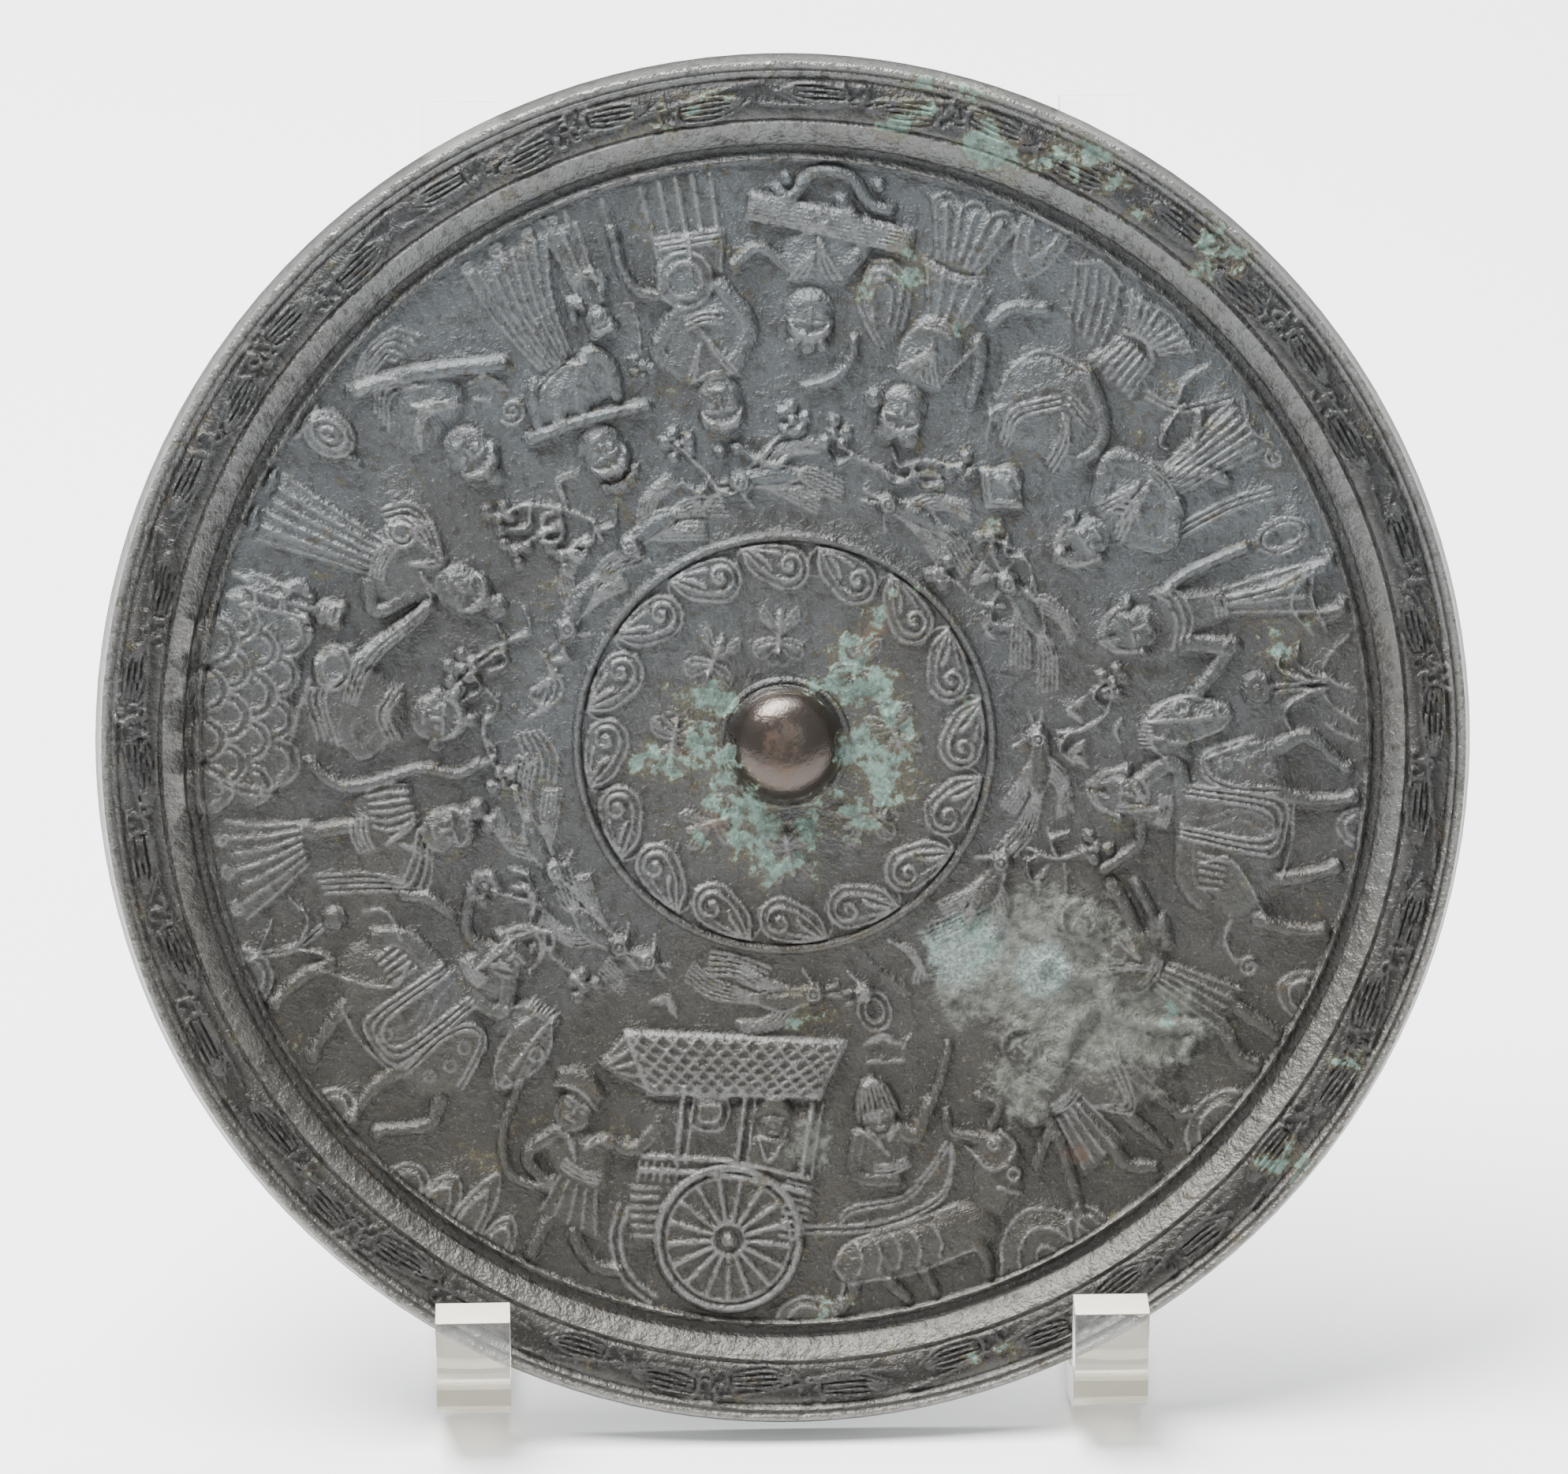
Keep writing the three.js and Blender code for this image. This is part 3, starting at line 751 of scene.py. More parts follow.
twin((17.2, 19), (16.9, 11), (17.6, 4.6))
for at in (12.8, 17.6):
    limb((at, 5), (at, 1.4), w=2.4)
    knob(at + 0.4, 0.7, 1.7, 0.9)
limb((20.8, 31), (22.3, 25), (22.4, 13.6), w=1.5)
hoop(22, 7, 2.9, 4.6)
hoop(22, 7, 2.0, 3.5)
drawn("fan bearer")

# %% Attendant with folded hands
face(33.5, 37.2, 3.2)
kerchief(33.7, 37.6, 3.0, knob_on_top=True)
body((30, 33), (26.8, 26), (31, 20), (36, 20), (40.8, 25.6), (37.4, 33), h=0.8)
limb((30, 31), (27, 25.8), (31, 21), w=3.0)
limb((37.4, 31.6), (40.6, 25.6), (36, 21), w=3.0)
for low in (31.4, 29.8, 28.2):
    thread((31.8, low), (33.6, low - 1.5), (35.3, low + 0.1), w=0.6)
lapels((30.2, 33), (37.2, 33), (35.2, 22), 3)
belt(31, 35.8, 20.6, 3, 0.8)
skirt(31.8, 35.6, 19.6, 31, 37, 3, 7)
limb((35, 19.4), (32.4, 14), (30.2, 11.4), w=1.7)
limb((34, 15), (36, 12), (38, 8.6), w=1.6)
folds(3, [(26.9, 24), (26.9, 13), (26, 5.2)], [(28.4, 24), (28.2, 13), (27.2, 5)])
curl(29.6, 2.2, 1.7)
thread((31, 1.2), (33.6, 3), (36.6, 0.8))

twin((37.2, 2.6), (38.6, 8), (40.2, 11.6), (43.4, 13.4))
curved_leaf((36.6, 16.8), (38.2, 17.2), (39.4, 13), (39.8, 9.6), w=1.6)
curved_leaf((40.4, 11), (41.6, 6.4), (41, 1.6), w=1.6)
drawn("attendant and leaves")

# %% Piper
p = ring.spot(49.2, 42.4)
p.pad((-4.8, 0.4), (0, 4.4), (4.8, 0), (0, -3.8), h=1.0)
for scale in (1, 0.74):
    p.line((-4.8 * scale, 0.4), (0, 4.4 * scale), w=0.6, h=CREST)
    p.line((0, 4.4 * scale), (4.8 * scale, 0), w=0.6, h=CREST)
p.line((-4.8, 0.4), (0, -3.8), w=0.6, h=CREST)
p.line((4.8, 0), (0, -3.8), w=0.6, h=CREST)
face(49.2, 41, 2.4)
body((44.4, 35), (43, 28), (45, 21), (51, 18), (57.4, 21), (58.4, 30), (54.4, 36), (49, 34), h=0.8)
for k in range(3):
    thread((52.4 + k * 0.8, 36.4), (53.6 + k * 0.8, 31 - k * 0.3), (50 + k * 0.6, 25 - k * 0.6))
    thread((44.8 + k * 0.9, 35 - k * 0.4), (45.8 + k * 0.8, 29.8), (48.4 + k * 0.5, 25.8))
folds(3, [(46.2, 25), (49.8, 24)], [(47, 22.8), (50.6, 22)])
limb((43.2, 30), (42.8, 26), (45, 21.6), (50.4, 17.6), w=2.0)
limb((50.4, 20), (54, 27), (57.2, 33.6), w=2.2)
thread((55.2, 38.6), (56.8, 35), (58.4, 31.8))
thread((58, 30.4), (58.2, 24), (56, 19), (51, 17.4))
skirt(44.6, 51, 16, 45.4, 49.8, 9, 7)
thread((45.6, 8.2), (47.8, 7), (50, 8.2), w=0.9)
skirt(45.6, 50, 7, 43, 52, 1.6, 9)
thread((42.8, 2.8), (47.4, 0.6), (52, 2.8))
folds(5, [(50.8, 13.6), (52, 7), (53.6, 1.6)], [(55.4, 12.4), (57, 7), (58.2, 3.4)])
thread((53.2, 1.8), (56, 0.6), (58.4, 3.6))
drawn("piper")

# %% Lady beside a rock
limb((63.4, 19.6), (62, 15.6), (58.4, 12.8), w=1.8)
hump(62.6, 2.6, 10.4, 2)

face(69.8, 39.2, 3.8)
hair(69.8, 39.2, 3.8, buns=((-2.4, 4.4, 1.5), (1.6, 4.8, 1.5), (5.4, -0.2, 1.5)))
body((66, 34), (73.4, 34), (73, 27), (71, 22), (67, 22), (64.8, 27), h=0.8)
lapels((66, 33.4), (72.8, 33), (69.2, 26.4), 4)
thread((73.2, 32), (72.8, 27), (71.2, 24))
limb((60.8, 33.4), (61.8, 28), (63.6, 23.4), w=1.8, end=2.6)
thread((65.8, 32), (64.4, 27), (63.8, 23))
belt(67.2, 71, 22.8, 3)
body((73.6, 26), (74, 18), (77, 14.6), (79.6, 17), (79.6, 24), (76.4, 29.6), h=0.8)
for k in range(3):
    thread((73.6 + k, 26), (74 + k, 18.6 + k), (76.4 + k * 0.6, 15.2 + k * 1.6),
           (79.2, 15.6 + k * 1.8), w=0.6)
twin((75.6, 30), (78.4, 26), (79.7, 22), (79.1, 16.4))
thread((77.2, 27), (78.4, 22), (78, 17.4))
skirt(66.2, 71, 22, 64.8, 73, 14, 5)
for lift in (0, 0.9):
    thread((66.4, 12.6 + lift), (69, 14.2 + lift), (73.6, 13 + lift), w=0.6)
skirt(67.2, 72, 12.6, 65.2, 74.2, 2.6, 7)
for a in (65.2, 68.2, 71.2):
    thread((a, 2.8), (a + 1.5, 0.8), (a + 3, 2.6))
drawn("lady")

# %% Zither player
limb((79.6, 29.4), (79.6, 33), (81.6, 36.6), (86, 38.8), w=1.5)
face(86, 26, 3.9)
hair(86, 26, 3.9, buns=((0, 5.6, 1.2), (2.8, 5.2, 0.8), (-2.6, 5.4, 0.8)))
body((82, 20), (89, 20), (89.4, 14), (87, 11), (83, 11), (80.4, 14), h=0.8)
lapels((82.4, 19.6), (89, 20), (85.6, 12.6), 3)
belt(83.8, 87.4, 10.8, 3, 0.7)
limb((88.6, 18.4), (92.4, 14.4), (95.6, 17.4), w=1.6)
ring.pad((75, 13.6), (84, 12.6), (93.8, 9.6), (92.8, 4.6), (84, 7.4), (75.2, 8.6), h=0.8)
folds(7, [(75, 13.2), (84, 12.2), (93.6, 9.2)], [(75.2, 9), (84, 7.8), (92.8, 5)], w=0.5)
thread((75, 13.4), (75.2, 8.8))
thread((93.7, 9.4), (92.8, 4.8))
limb((82, 18), (80.4, 13.4), (82, 8.8), (83.2, 6.6), w=2.4, h=1.2)
knob(83.4, 6, 1.2)
limb((78.2, 6.4), (80.4, 6), (83, 1.6), (86.6, 1.6), (88.8, 6), (90.2, 4.4), w=1.9)
for at in (79.8, 89.2):
    knob(at, 2.6, 1.2)
drawn("zither player")

# %% Drummer
face(100, 40.4, 3.9)
hair(100, 40.6, 3.9, buns=((-1.3, 8.4, 1.0), (1.5, 8.4, 1.0)), stripes=7)
body((96.4, 36), (104, 36), (107, 29.6), (103, 22), (97, 22), (94, 28), h=0.8)
thread((96.4, 36), (100, 35.2), (104, 36))
lapels((96.6, 35.4), (104.2, 35.4), (100.8, 27.4))
belt(97.8, 102.6, 25, 3)
limb((96.6, 34), (94.2, 29), (94.8, 25.4), (97.4, 20.4), w=2.6)
limb((104.8, 34), (107.4, 29.4), (104.6, 25), (102.6, 23), w=2.4)
skirt(97, 104.4, 18, 96.2, 104, 11, 3)
folds(3, [(96.3, 12.8), (104, 12.2)], [(96.3, 10.8), (104, 10.4)])
knob(101.5, 18.4, 5.0, h=1.1)
hoop(101.5, 18.4, 4.8)
hoop(101.5, 18.4, 3.0)
knob(101.5, 18.4, 1.2, h=1.6)
for at in (96.8, 98.6, 100.3, 102, 103.9):
    thread((at, 10.4), (at, 0.8), w=0.95)
limb((105.2, 20), (107.4, 18), (108.3, 13), (107.8, 8), w=1.6)
drawn("drummer")

# %% Child and flute player
for x, y in ((0, 0), (1.5, 0.8), (-1.4, 1), (0.4, 1.9), (0.9, -1.4)):
    ring.spot(110, 30.6).dome(x, y, 0.75, h=0.9)
thread((109.6, 28.4), (108.6, 24), (108.4, 20), w=0.6)
ball(108, 7, 1.0)
thread((108, 6), (107.9, 1), w=0.8)


def child(at, top):
    """A small figure in a robe, with one arm raised."""
    face(at, top, 2.1)
    hair(at, top, 2.1, buns=((-1.7, 2.2, 0.8), (1.7, 2.2, 0.8)), stripes=3)
    skirt(at - 1.2, at + 1.2, top - 2.8, at - 1.8, at + 1.6, 3.4, 3)
    belt(at - 1.4, at + 1.2, top - 8.2, 2)
    limb((at + 1.2, top - 3.4), (at + 2.2, top - 5), (at + 2.8, top - 2), w=1.5)
    limb((at - 1.2, top - 3.4), (at - 2.2, top - 6), (at - 1.4, top - 8), w=1.5)
    for side in (-1, 1):
        thread((at + side * 0.9, 3.4), (at + side * 1.2, 0.8), w=1.0)


child(112.9, 20.4)
face(121, 40.6, 3.8)
hair(121, 41, 3.8, buns=((-3, 5.6, 0.7), (-1.5, 6.4, 0.7), (0, 6.6, 0.7), (1.5, 6.4, 0.7),
                         (3, 5.6, 0.7)), stripes=5)
body((114, 33), (114, 27), (116.6, 24.6), (122, 25), (126, 27), (126.4, 32), h=0.8)
limb((115, 33.6), (114, 28.4), (115.6, 25), (117.8, 27), (120.4, 33), w=2.2)
limb((124.4, 33), (122, 29.4), (118.6, 26), w=2.2)
limb((127, 31), (125.8, 27), (124, 24.6), w=1.6)
for k in range(2):
    thread((117 + k, 26.4 - k), (120, 25 - k), (123.8, 26.4 - k))
skirt(118, 122.4, 23.4, 114.4, 123.4, 3, 8, sway=0.6)
limb((111.4, 37.4), (120, 35), (129.2, 31.8), w=2.0, h=1.3)
for at in (113.6, 116.2, 118.8, 121.4, 124, 126.6):
    ring.spot(at, 37.6 - (at - 111.4) * 0.32).dome(0, 0, 0.4, h=0.35, onto=lines)
for at, size in ((113.4, 1.4), (116, 1.2), (119.6, 1.5), (123, 1.3)):
    curl(at, 1.9, size, start=200)
curl(128.6, 26.2, 2.5, turns=1.7)
thread((127.2, 22.6), (128.2, 18.6), (130.4, 17.4))
thread((129.8, 22.4), (131.2, 20.4), (132.4, 22))
drawn("child and flute player")

# %% [markdown]
# ## The procession, left side
#
# The round goes on with a seated player, a gong, a drummer with a child, a lute player above
# scaled rocks, a dancer and a second rider. The two riders were cast alike, so the second
# is the first one drawn again with the ring hand turned.

# %% Seated player
face(136.5, 26.2, 4.0)
hair(136.5, 26.4, 4.0, buns=((0, 6, 1.4),), stripes=6)
body((132.6, 20), (140.4, 20), (141, 14), (137, 10), (133, 12), (131.4, 16), h=0.8)
for k in range(3):
    thread((132.8 + k * 0.4, 19.6 - k), (136.5, 16.6 - k * 0.8), (140.2 - k * 0.4, 19.6 - k))
lapels((134, 17.6), (139.2, 17), (137, 13.4))
for k in range(4):
    thread((134.6 + k * 0.3, 12.6 - k * 1.1), (137.6, 9.6 - k * 1.1), (140.8 - k * 0.2, 13 - k * 1.2))
limb((125.8, 18.6), (130, 14.6), (135, 9), (140, 4.2), w=2.6, h=1.2)
for k in range(5):
    thread((131 + k * 0.9, 6.6), (132 + k * 0.8, 2.6 + k * 0.5), (135, 1 + k * 0.9),
           (138.4 - k * 0.3, 2.4 + k * 0.6), (140 - k * 0.2, 5.6 + k * 0.3), w=0.55)
drawn("seated player")

# %% Gong and standing drummer
knob(145, 5.2, 3.9, 4.9, h=1.1)
hoop(145, 5.2, 3.6, 4.7)
hoop(145, 5.2, 2.3, 3.3)
hoop(145, 5.2, 1.0, 1.6)
limb((146, 10.6), (146.1, 12.4), w=1.6)
thread((143.4, 0.6), (145, 1.4), (147, 0.6), w=0.9)

face(153.6, 38.4, 3.8)
hair(153.6, 38.8, 3.8, buns=((0, 6.6, 1.8),), stripes=6)
body((150, 34), (157, 34), (160, 28), (157, 22), (150, 22), (147, 28), h=0.8)
lapels((150.2, 34), (156.8, 34.6), (153.5, 28.6))
for k in range(4):
    thread((151 - k * 0.2, 33.4 - k * 1.2), (147.4 + k * 0.8, 29 - k * 0.4),
           (146.4 + k * 0.9, 23.8 + k * 0.4), (149 + k * 0.5, 19.8 + k * 0.8))
hoop(150.2, 24.8, 2.6)
hoop(150.2, 24.8, 1.5)
knob(150.2, 24.8, 0.9, h=1.4)
limb((157.4, 31.6), (161.2, 26.4), (158, 23), w=2.2)
limb((158.6, 34), (162.8, 32), w=1.8)
belt(152.4, 157, 23, 4, 0.8)
skirt(152.4, 157, 22.6, 151, 158, 2.4, 6)
for at in (152, 156.2):
    knob(at, 0.8, 2.0, 0.9)
child(163.2, 18.4)
drawn("standing drummer and child")

# %% Lute player
face(175, 40.2, 3.8)
hair(175, 40.6, 3.8, buns=((-4.4, 2.6, 1.1), (4.6, 0, 1.1), (0, 6, 1.2)), stripes=6)
body((171, 34), (178.6, 34), (181, 28), (178, 20), (171, 20), (168, 24), h=0.8)
for k in range(3):
    thread((171.6, 34 - k * 1.1), (175, 32 - k * 1.1), (178.6, 34 - k * 1.1))
thread((170.4, 34), (173.2, 31.8), (177, 31.6))
limb((177.8, 31), (180.6, 27.6), (178, 24.6), (175.6, 25), w=2.8)
knob(174.6, 24.4, 1.7)
p = ring.spot(169.6, 21)
p.pad((-4.4, 3.4), (0, 4.4), (4, 1), (3.4, -2.6), (-0.6, -3.4), (-4, 0), h=1.2)
p.ring(0, 0.4, 3.8, w=0.6, h=CREST, ry=3.2)
p.ring(0, 0.4, 2.4, w=0.5, h=0.34, ry=1.9)
limb((158, 34.6), (163, 31), (168.6, 25.4), w=2.3, end=3, h=1.2)
folds(4, [(160, 34.8), (168, 28.4), (174, 26)], [(159.4, 32.6), (167, 25.6), (173.6, 23.8)], w=0.45)
for k in range(4):
    thread((170.6 + k * 0.5, 23.2 - k), (173.4, 20.6 - k * 1.1), (179.6 - k * 0.3, 23.4 - k * 1.2))
thread((171.6, 17.6), (175, 16.4), (178.8, 15.2), w=0.9)
drawn("lute player")

# %% Scaled rocks
body((165, 13), (168, 16), (174, 15), (181, 15), (184, 10), (184, 0), (164.4, 0), h=0.9)
for row, high in enumerate((12.6, 8.4, 4.2, 0.8)):
    for k in range(4):
        at = 166.6 + k * 4.9 + (row % 2) * 2.4
        wide = 3.6 + 0.7 * ((row + 2 * k) % 3 == 0)
        ring.spot(at, high - 0.6).dome(0, 0, wide, h=0.8 + 0.2 * (row % 2))
        for size in (wide, wide * 0.62):
            ring.spot(at, high - 0.6).arc(0, 0, size, 10, 170, w=0.55, h=CREST, ry=size * 1.05)
ring.spot(164.6, 3).arc(0, 0, 3, 20, 160, w=0.6, h=CREST)
curved_leaf((182.6, 14), (184.4, 10.6), (183, 3.4), w=1.8)
curved_leaf((185, 12), (184.6, 7), (183.2, 1.6), w=1.4)
drawn("rocks")

# %% Dancer and flower
face(193.6, 40.2, 3.7)
hair(193.6, 40.6, 3.7, buns=((-2.2, 5.8, 1.6), (0.8, 7.2, 1.5)), stripes=5)
limb((183, 47.8), (184.6, 43.8), (183.2, 38), (184, 33), (185, 25), (183.6, 21), (181.4, 18.2), w=1.7)
body((185.4, 35), (190, 36), (197, 35), (201, 30), (194, 24), (186, 26), h=0.8)
folds(6, [(185.4, 35), (185, 31), (185.6, 27.8)], [(191, 35.6), (191.6, 31), (190.6, 28)])
lapels((190, 36), (197, 36), (193.4, 29.4))
belt(189.2, 193.6, 24.4, 4, 0.9)
folds(4, [(199, 30.6), (196.6, 25), (195, 16)], [(202, 34), (199.4, 26), (197.4, 17)])
folds(4, [(192.4, 35.6), (196, 33.6), (199, 30.6)], [(196, 37), (199.6, 35.6), (202, 33.4)], w=0.55)
limb((201, 29.2), (203, 33.4), (207, 35.8), w=1.7)
limb((190, 23.6), (190, 17.4), w=2.4)
knob(189.4, 16.6, 1.4)
skirt(188.6, 193.4, 15.6, 187.2, 197.4, 2.6, 7, sway=0.3)
for at in (189, 192.4, 196.2):
    curl(at, 1.6, 1.3, start=180)
ball(200.5, 17, 1.9)
twin((201, 14.4), (202, 8), (201, 1), gap=0.9)
curved_leaf((196.6, 10.6), (199.4, 12.6), (201.4, 10), (202, 7.2))
curved_leaf((205, 14), (203.6, 12), (202.2, 8.6))
curved_leaf((198.4, 6.6), (199.8, 4.4), (201.3, 1.8))
thread((201, 22), (202.3, 25.8), (206.4, 26))
hump(202.8, 2.6, 3.4)
drawn("dancer")

# %% Second rider
ring.turn = -133.7       # from the first rider to the second
horse()
rider()
ring.turn = 0.0
hump(218.5, 2, 3.6)
hump(229, 2.2, 3.4)
limb((229.8, 38.8), (230.2, 32), (232.8, 19.4), (235, 14), (237.6, 11.4), (241, 12.6), (241.4, 14.6),
     w=1.3)
drawn("second rider")

# %% [markdown]
# ## Groom, driver and ox
#
# On the real mirror a groom walks behind the cart, the driver sits before it and a humped
# ox pulls it. The ox could be one outline, but its shoulder would look flat. It is two soft
# bodies that melt together, with the ribs drawn over them.

# %% Groom and cart
face(239.6, 27.4, 3.4)
p = ring.spot(238.8, 30.4)
p.blob((-4.6, -1.6), (-3.6, 2.2), (0, 3.8), (3.6, 2.2), (4.4, -1.4), (0, -0.4), h=1.2)
for k in range(6):
    p.dome(-4 + 1.6 * k, 1.2 + 1.6 * sin(pi * k / 5), 0.9, h=1.3)
p.line((-4.4, -1.2), (0, 0.2), (4.4, -1.2), w=0.7, h=CREST)
body((239, 23), (245, 25), (247.6, 20), (246.6, 15.4), (241.6, 15.4), (238, 19), h=0.8)
lapels((239.2, 23), (245.2, 25.4), (242.6, 19.6))
limb((239, 22.6), (237.5, 16), (241, 13.4), w=2.0)
limb((245, 25), (249, 25), (251, 30), w=2.2)
knob(251.2, 31, 1.3)
belt(241.6, 246.4, 17.2, 3, 0.8)
skirt(242, 246.6, 15.8, 241.8, 248.4, 8.8, 5)
limb((243, 7.6), (243, 1), w=2.2)
limb((246, 7.6), (248, 4.8), (250, 3.4), (252, 4), w=2.2)
hump(236, 1.7, 10.6)
hump(232.4, 2.0, 6)
hump(239.6, 1.6, 5.2)
cart(262)
drawn("groom and cart")

# %% Driver
p = ring.spot(283.5, 35.4)
p.blob((-3.8, -1), (-2.6, 3.6), (0, 5.2), (2.6, 3.6), (3.8, -1), (0, -4.8), h=1.2)
p.row(8, [(-3.6, -2), (-2.6, 3), (-0.4, 5)], [(3.6, -2), (2.6, 3), (0.4, 5)], w=0.5, h=0.4)
face(283.5, 33.4, 2.9)
body((280.4, 32), (286.4, 32), (287, 26), (285, 23), (281, 23), (279, 26), h=0.8)
lapels((280.4, 32), (286.2, 31.4), (283.6, 26.6))
limb((280, 31), (278.8, 24), (284, 21.6), w=2.2)
limb((286.4, 30), (288, 28.4), (291, 33), w=2.2)
limb((291, 32), (294.4, 36.4), (298, 41), w=1.3)
belt(281.4, 286, 23.6, 3, 0.8)
for k in range(2):
    thread((271, 15 + k * 1.2), (280, 14 + k * 1.2), (287, 15.4 + k), (290, 18.4 + k),
           (292, 23.8 + k))
    thread((276, 16 + k), (278, 17.8 + k), (284, 17.8 + k), (288, 21 + k), (291.4, 24.4 + k))
drawn("driver and shafts")

# %% Ox
body((274.6, 9), (277, 12.6), (284, 14), (291, 14.6), (293.6, 9.6), (291.4, 5.6), (283, 5.4),
     (276.4, 5.2), h=1.5, edge=3)
thread((274.7, 8.4), (276.8, 12.4), (284, 14), (290, 14.4))
for at in (277.5, 279.6, 281.8, 284, 286.4):
    thread((at, 12.6), (at + 0.5, 9.6), (at - 0.2, 6.8), w=0.6)
thread((276.4, 5.4), (283, 5.2), (290, 6), w=0.6)
for at, tip in ((276.2, 275), (280.2, 282), (284, 284.8), (290.4, 290.4)):
    limb((at, 7), (at + 0.4, 4), (tip, 0.8), w=2.3, end=1.5)
thread((274.8, 9), (275.6, 5), (274.6, 1.6), w=0.7)
body((291.6, 13), (293, 20), (295.6, 24.6), (299, 23), (299.6, 17.6), (297.4, 12), (294, 10), h=1.0)
for side in ((293, 30.4), (292.5, 27), (295.4, 23.8)), ((298, 30.4), (300, 27.4), (297.6, 24.8)):
    limb(*side, w=1.3)
curl(297, 21.6, 1.4)
thread((298.4, 23.6), (299.2, 19.6), (297.6, 17.8))
thread((293.6, 23.6), (295, 18.2), (297.4, 17.4))
hoop(297.4, 15.4, 1.0)
thread((295, 14.6), (297, 11.6), w=0.8)
hump(271.6, 3, 3.6)
hump(296.4, 4.8, 8.6, 3)
hump(301.4, 2.0, 5)
drawn("ox")

# %% [markdown]
# ## The last two attendants
#
# Two standing attendants close the round, with a form between them that lies half lost
# under the crust. What the crust hides is only hinted at: a low body, two legs and a few
# folds are enough, because the crust is laid over them later.

# %% Attendant beside the crusted form
face(307.2, 33.4, 3.2)
hair(307.2, 33.8, 3.2, stripes=5)
body((303.6, 29), (309.4, 30), (309.6, 22), (306, 20), (302.6, 22), h=0.8)
lapels((304.4, 29.4), (309.4, 29.8), (307, 24))
limb((303.8, 28.6), (302, 23), (304, 21), w=2.4)
limb((304.5, 19.4), (300, 14.6), w=1.6)
belt(305.6, 309.4, 20.6, 3, 0.8)
skirt(305.4, 309.4, 19.6, 304.4, 310, 9.6, 5)
limb((304.2, 17.8), (302.6, 9), (301, 2), w=1.9)
limb((308.5, 9.4), (308.4, 5.6), (310.4, 2.2), w=2.2)
body((309.6, 25), (318, 26), (321, 20), (318, 12), (311, 12), h=0.8)
for k in range(3):
    thread((309.6 + k, 17.6 - k), (313, 12 + k * 1.2), (317 - k, 23))
limb((312, 12), (312.6, 3.4), w=2.4, end=1.6)
limb((316, 18), (316, 7), (317, 5), w=2.4, end=1.6)
limb((310, 27), (314, 30), (319, 30), w=2.6)
limb((319, 26), (322, 32), (320, 38), w=3.2)
hump(318, 4, 4.4)
drawn("attendant and crusted form")

# %% Last attendant
face(328.6, 40.2, 3.5)
hair(328.6, 40.6, 3.5, stripes=5)
body((322.6, 34), (331, 34), (332, 27), (329.6, 24), (325, 24), (321.6, 27), h=0.8)
lapels((322.4, 33.6), (330.6, 33), (327.6, 26), 3)
limb((322.5, 30), (320.5, 26.4), (321.5, 21), (325.2, 13), w=2.4)
limb((331, 31), (333.6, 35), (336.2, 39), w=2.2)
limb((332, 28), (335, 31), (337.6, 35), w=1.8)
limb((334.4, 28), (331.6, 25.2), w=1.8)
belt(325, 329.4, 24.6, 3, 0.8)
skirt(325.6, 329.6, 23.4, 324.6, 331, 10, 6)
limb((326.4, 9.8), (324.6, 4), (325, 0.8), w=2.4)
limb((329, 9), (328.6, 0.8), w=2.4)
for k in range(4):
    ball(319.6 + 1.6 * k, 12.8 - 0.4 * (k % 2), 1.2)
thread((333.4, 13), (335, 16.4), (337.6, 17), w=0.8)
curl(333.6, 10.6, 1.8)
hump(333.4, 2.4, 4.6)
drawn("last attendant")

# %% [markdown]
# ## Birds and twigs
#
# Above the procession, birds fly among berried twigs. Feathers could each be an outline,
# but the old carver cut them as bands of close parallel threads, and so does this: a band
# runs from one curve to another. The birds share one function and differ in how far their
# wings sweep and how long their tails are.

# %% Feathers and heads
FEATHER = 0.46           # width of a feather's thread


def plumes(near, far):
    """Feathers between two curves, over a soft pad."""
    body(*near, *far[::-1], h=0.3)
    folds(5, near, far, w=FEATHER)


def bird_head(at, high, beak=6):
    """Ring eye, crest and a beak that points along the circle."""
    knob(at, high, 2.0, h=1.2)
    hoop(at, high, 1.1, w=0.5)
    ring.spot(at, high).dome(0, 0, 0.45, h=0.5, onto=lines)
    for k in (-1, 1):
        thread((at + 2, high + 0.3 * k), (at + beak, high + k * 1.1), w=0.6)
    thread((at, high + 2), (at - 2, high + 4.4), w=0.6)


print("a feather is", FEATHER, "mm wide")

# %% Flying birds


def flying_bird(at, high, sweep, tail):
    """A slim body, two wings swept back and a long straight tail, all of close threads."""
    body((at - 5, high), (at, high + 1.5), (at + 6, high + 1.4), (at + 7, high - 0.4),
         (at + 1, high - 1.6), h=0.9, edge=1)
    thread((at - 6, high + 0.2), (at, high + 1.8), (at + 6.4, high + 1.8))
    thread((at - 5, high - 0.6), (at + 1, high - 1.9), (at + 6.6, high - 0.8))
    folds(5, [(at - 4, high + 0.6), (at - tail, high + 1.9), (at - tail - 7, high + 3.6)],
          [(at - 4, high - 0.8), (at - tail, high - 1.3), (at - tail - 7, high + 0.2)], w=FEATHER)
    lift = 6.8 * sweep
    plumes([(at + 3, high + 2.2), (at - 2, high + lift * 0.9), (at - 9, high + lift + 1.6)],
           [(at - 1.4, high + 2), (at - 5, high + lift * 0.45), (at - 10, high + lift * 0.72)])
    plumes([(at + 4, high - 1.8), (at + 1, high - 4.6), (at - 6, high - 6.8)],
           [(at - 0.6, high - 2.2), (at - 3, high - 3.6), (at - 8, high - 4.4)])
    bird_head(at + 8.4, high + 0.8)


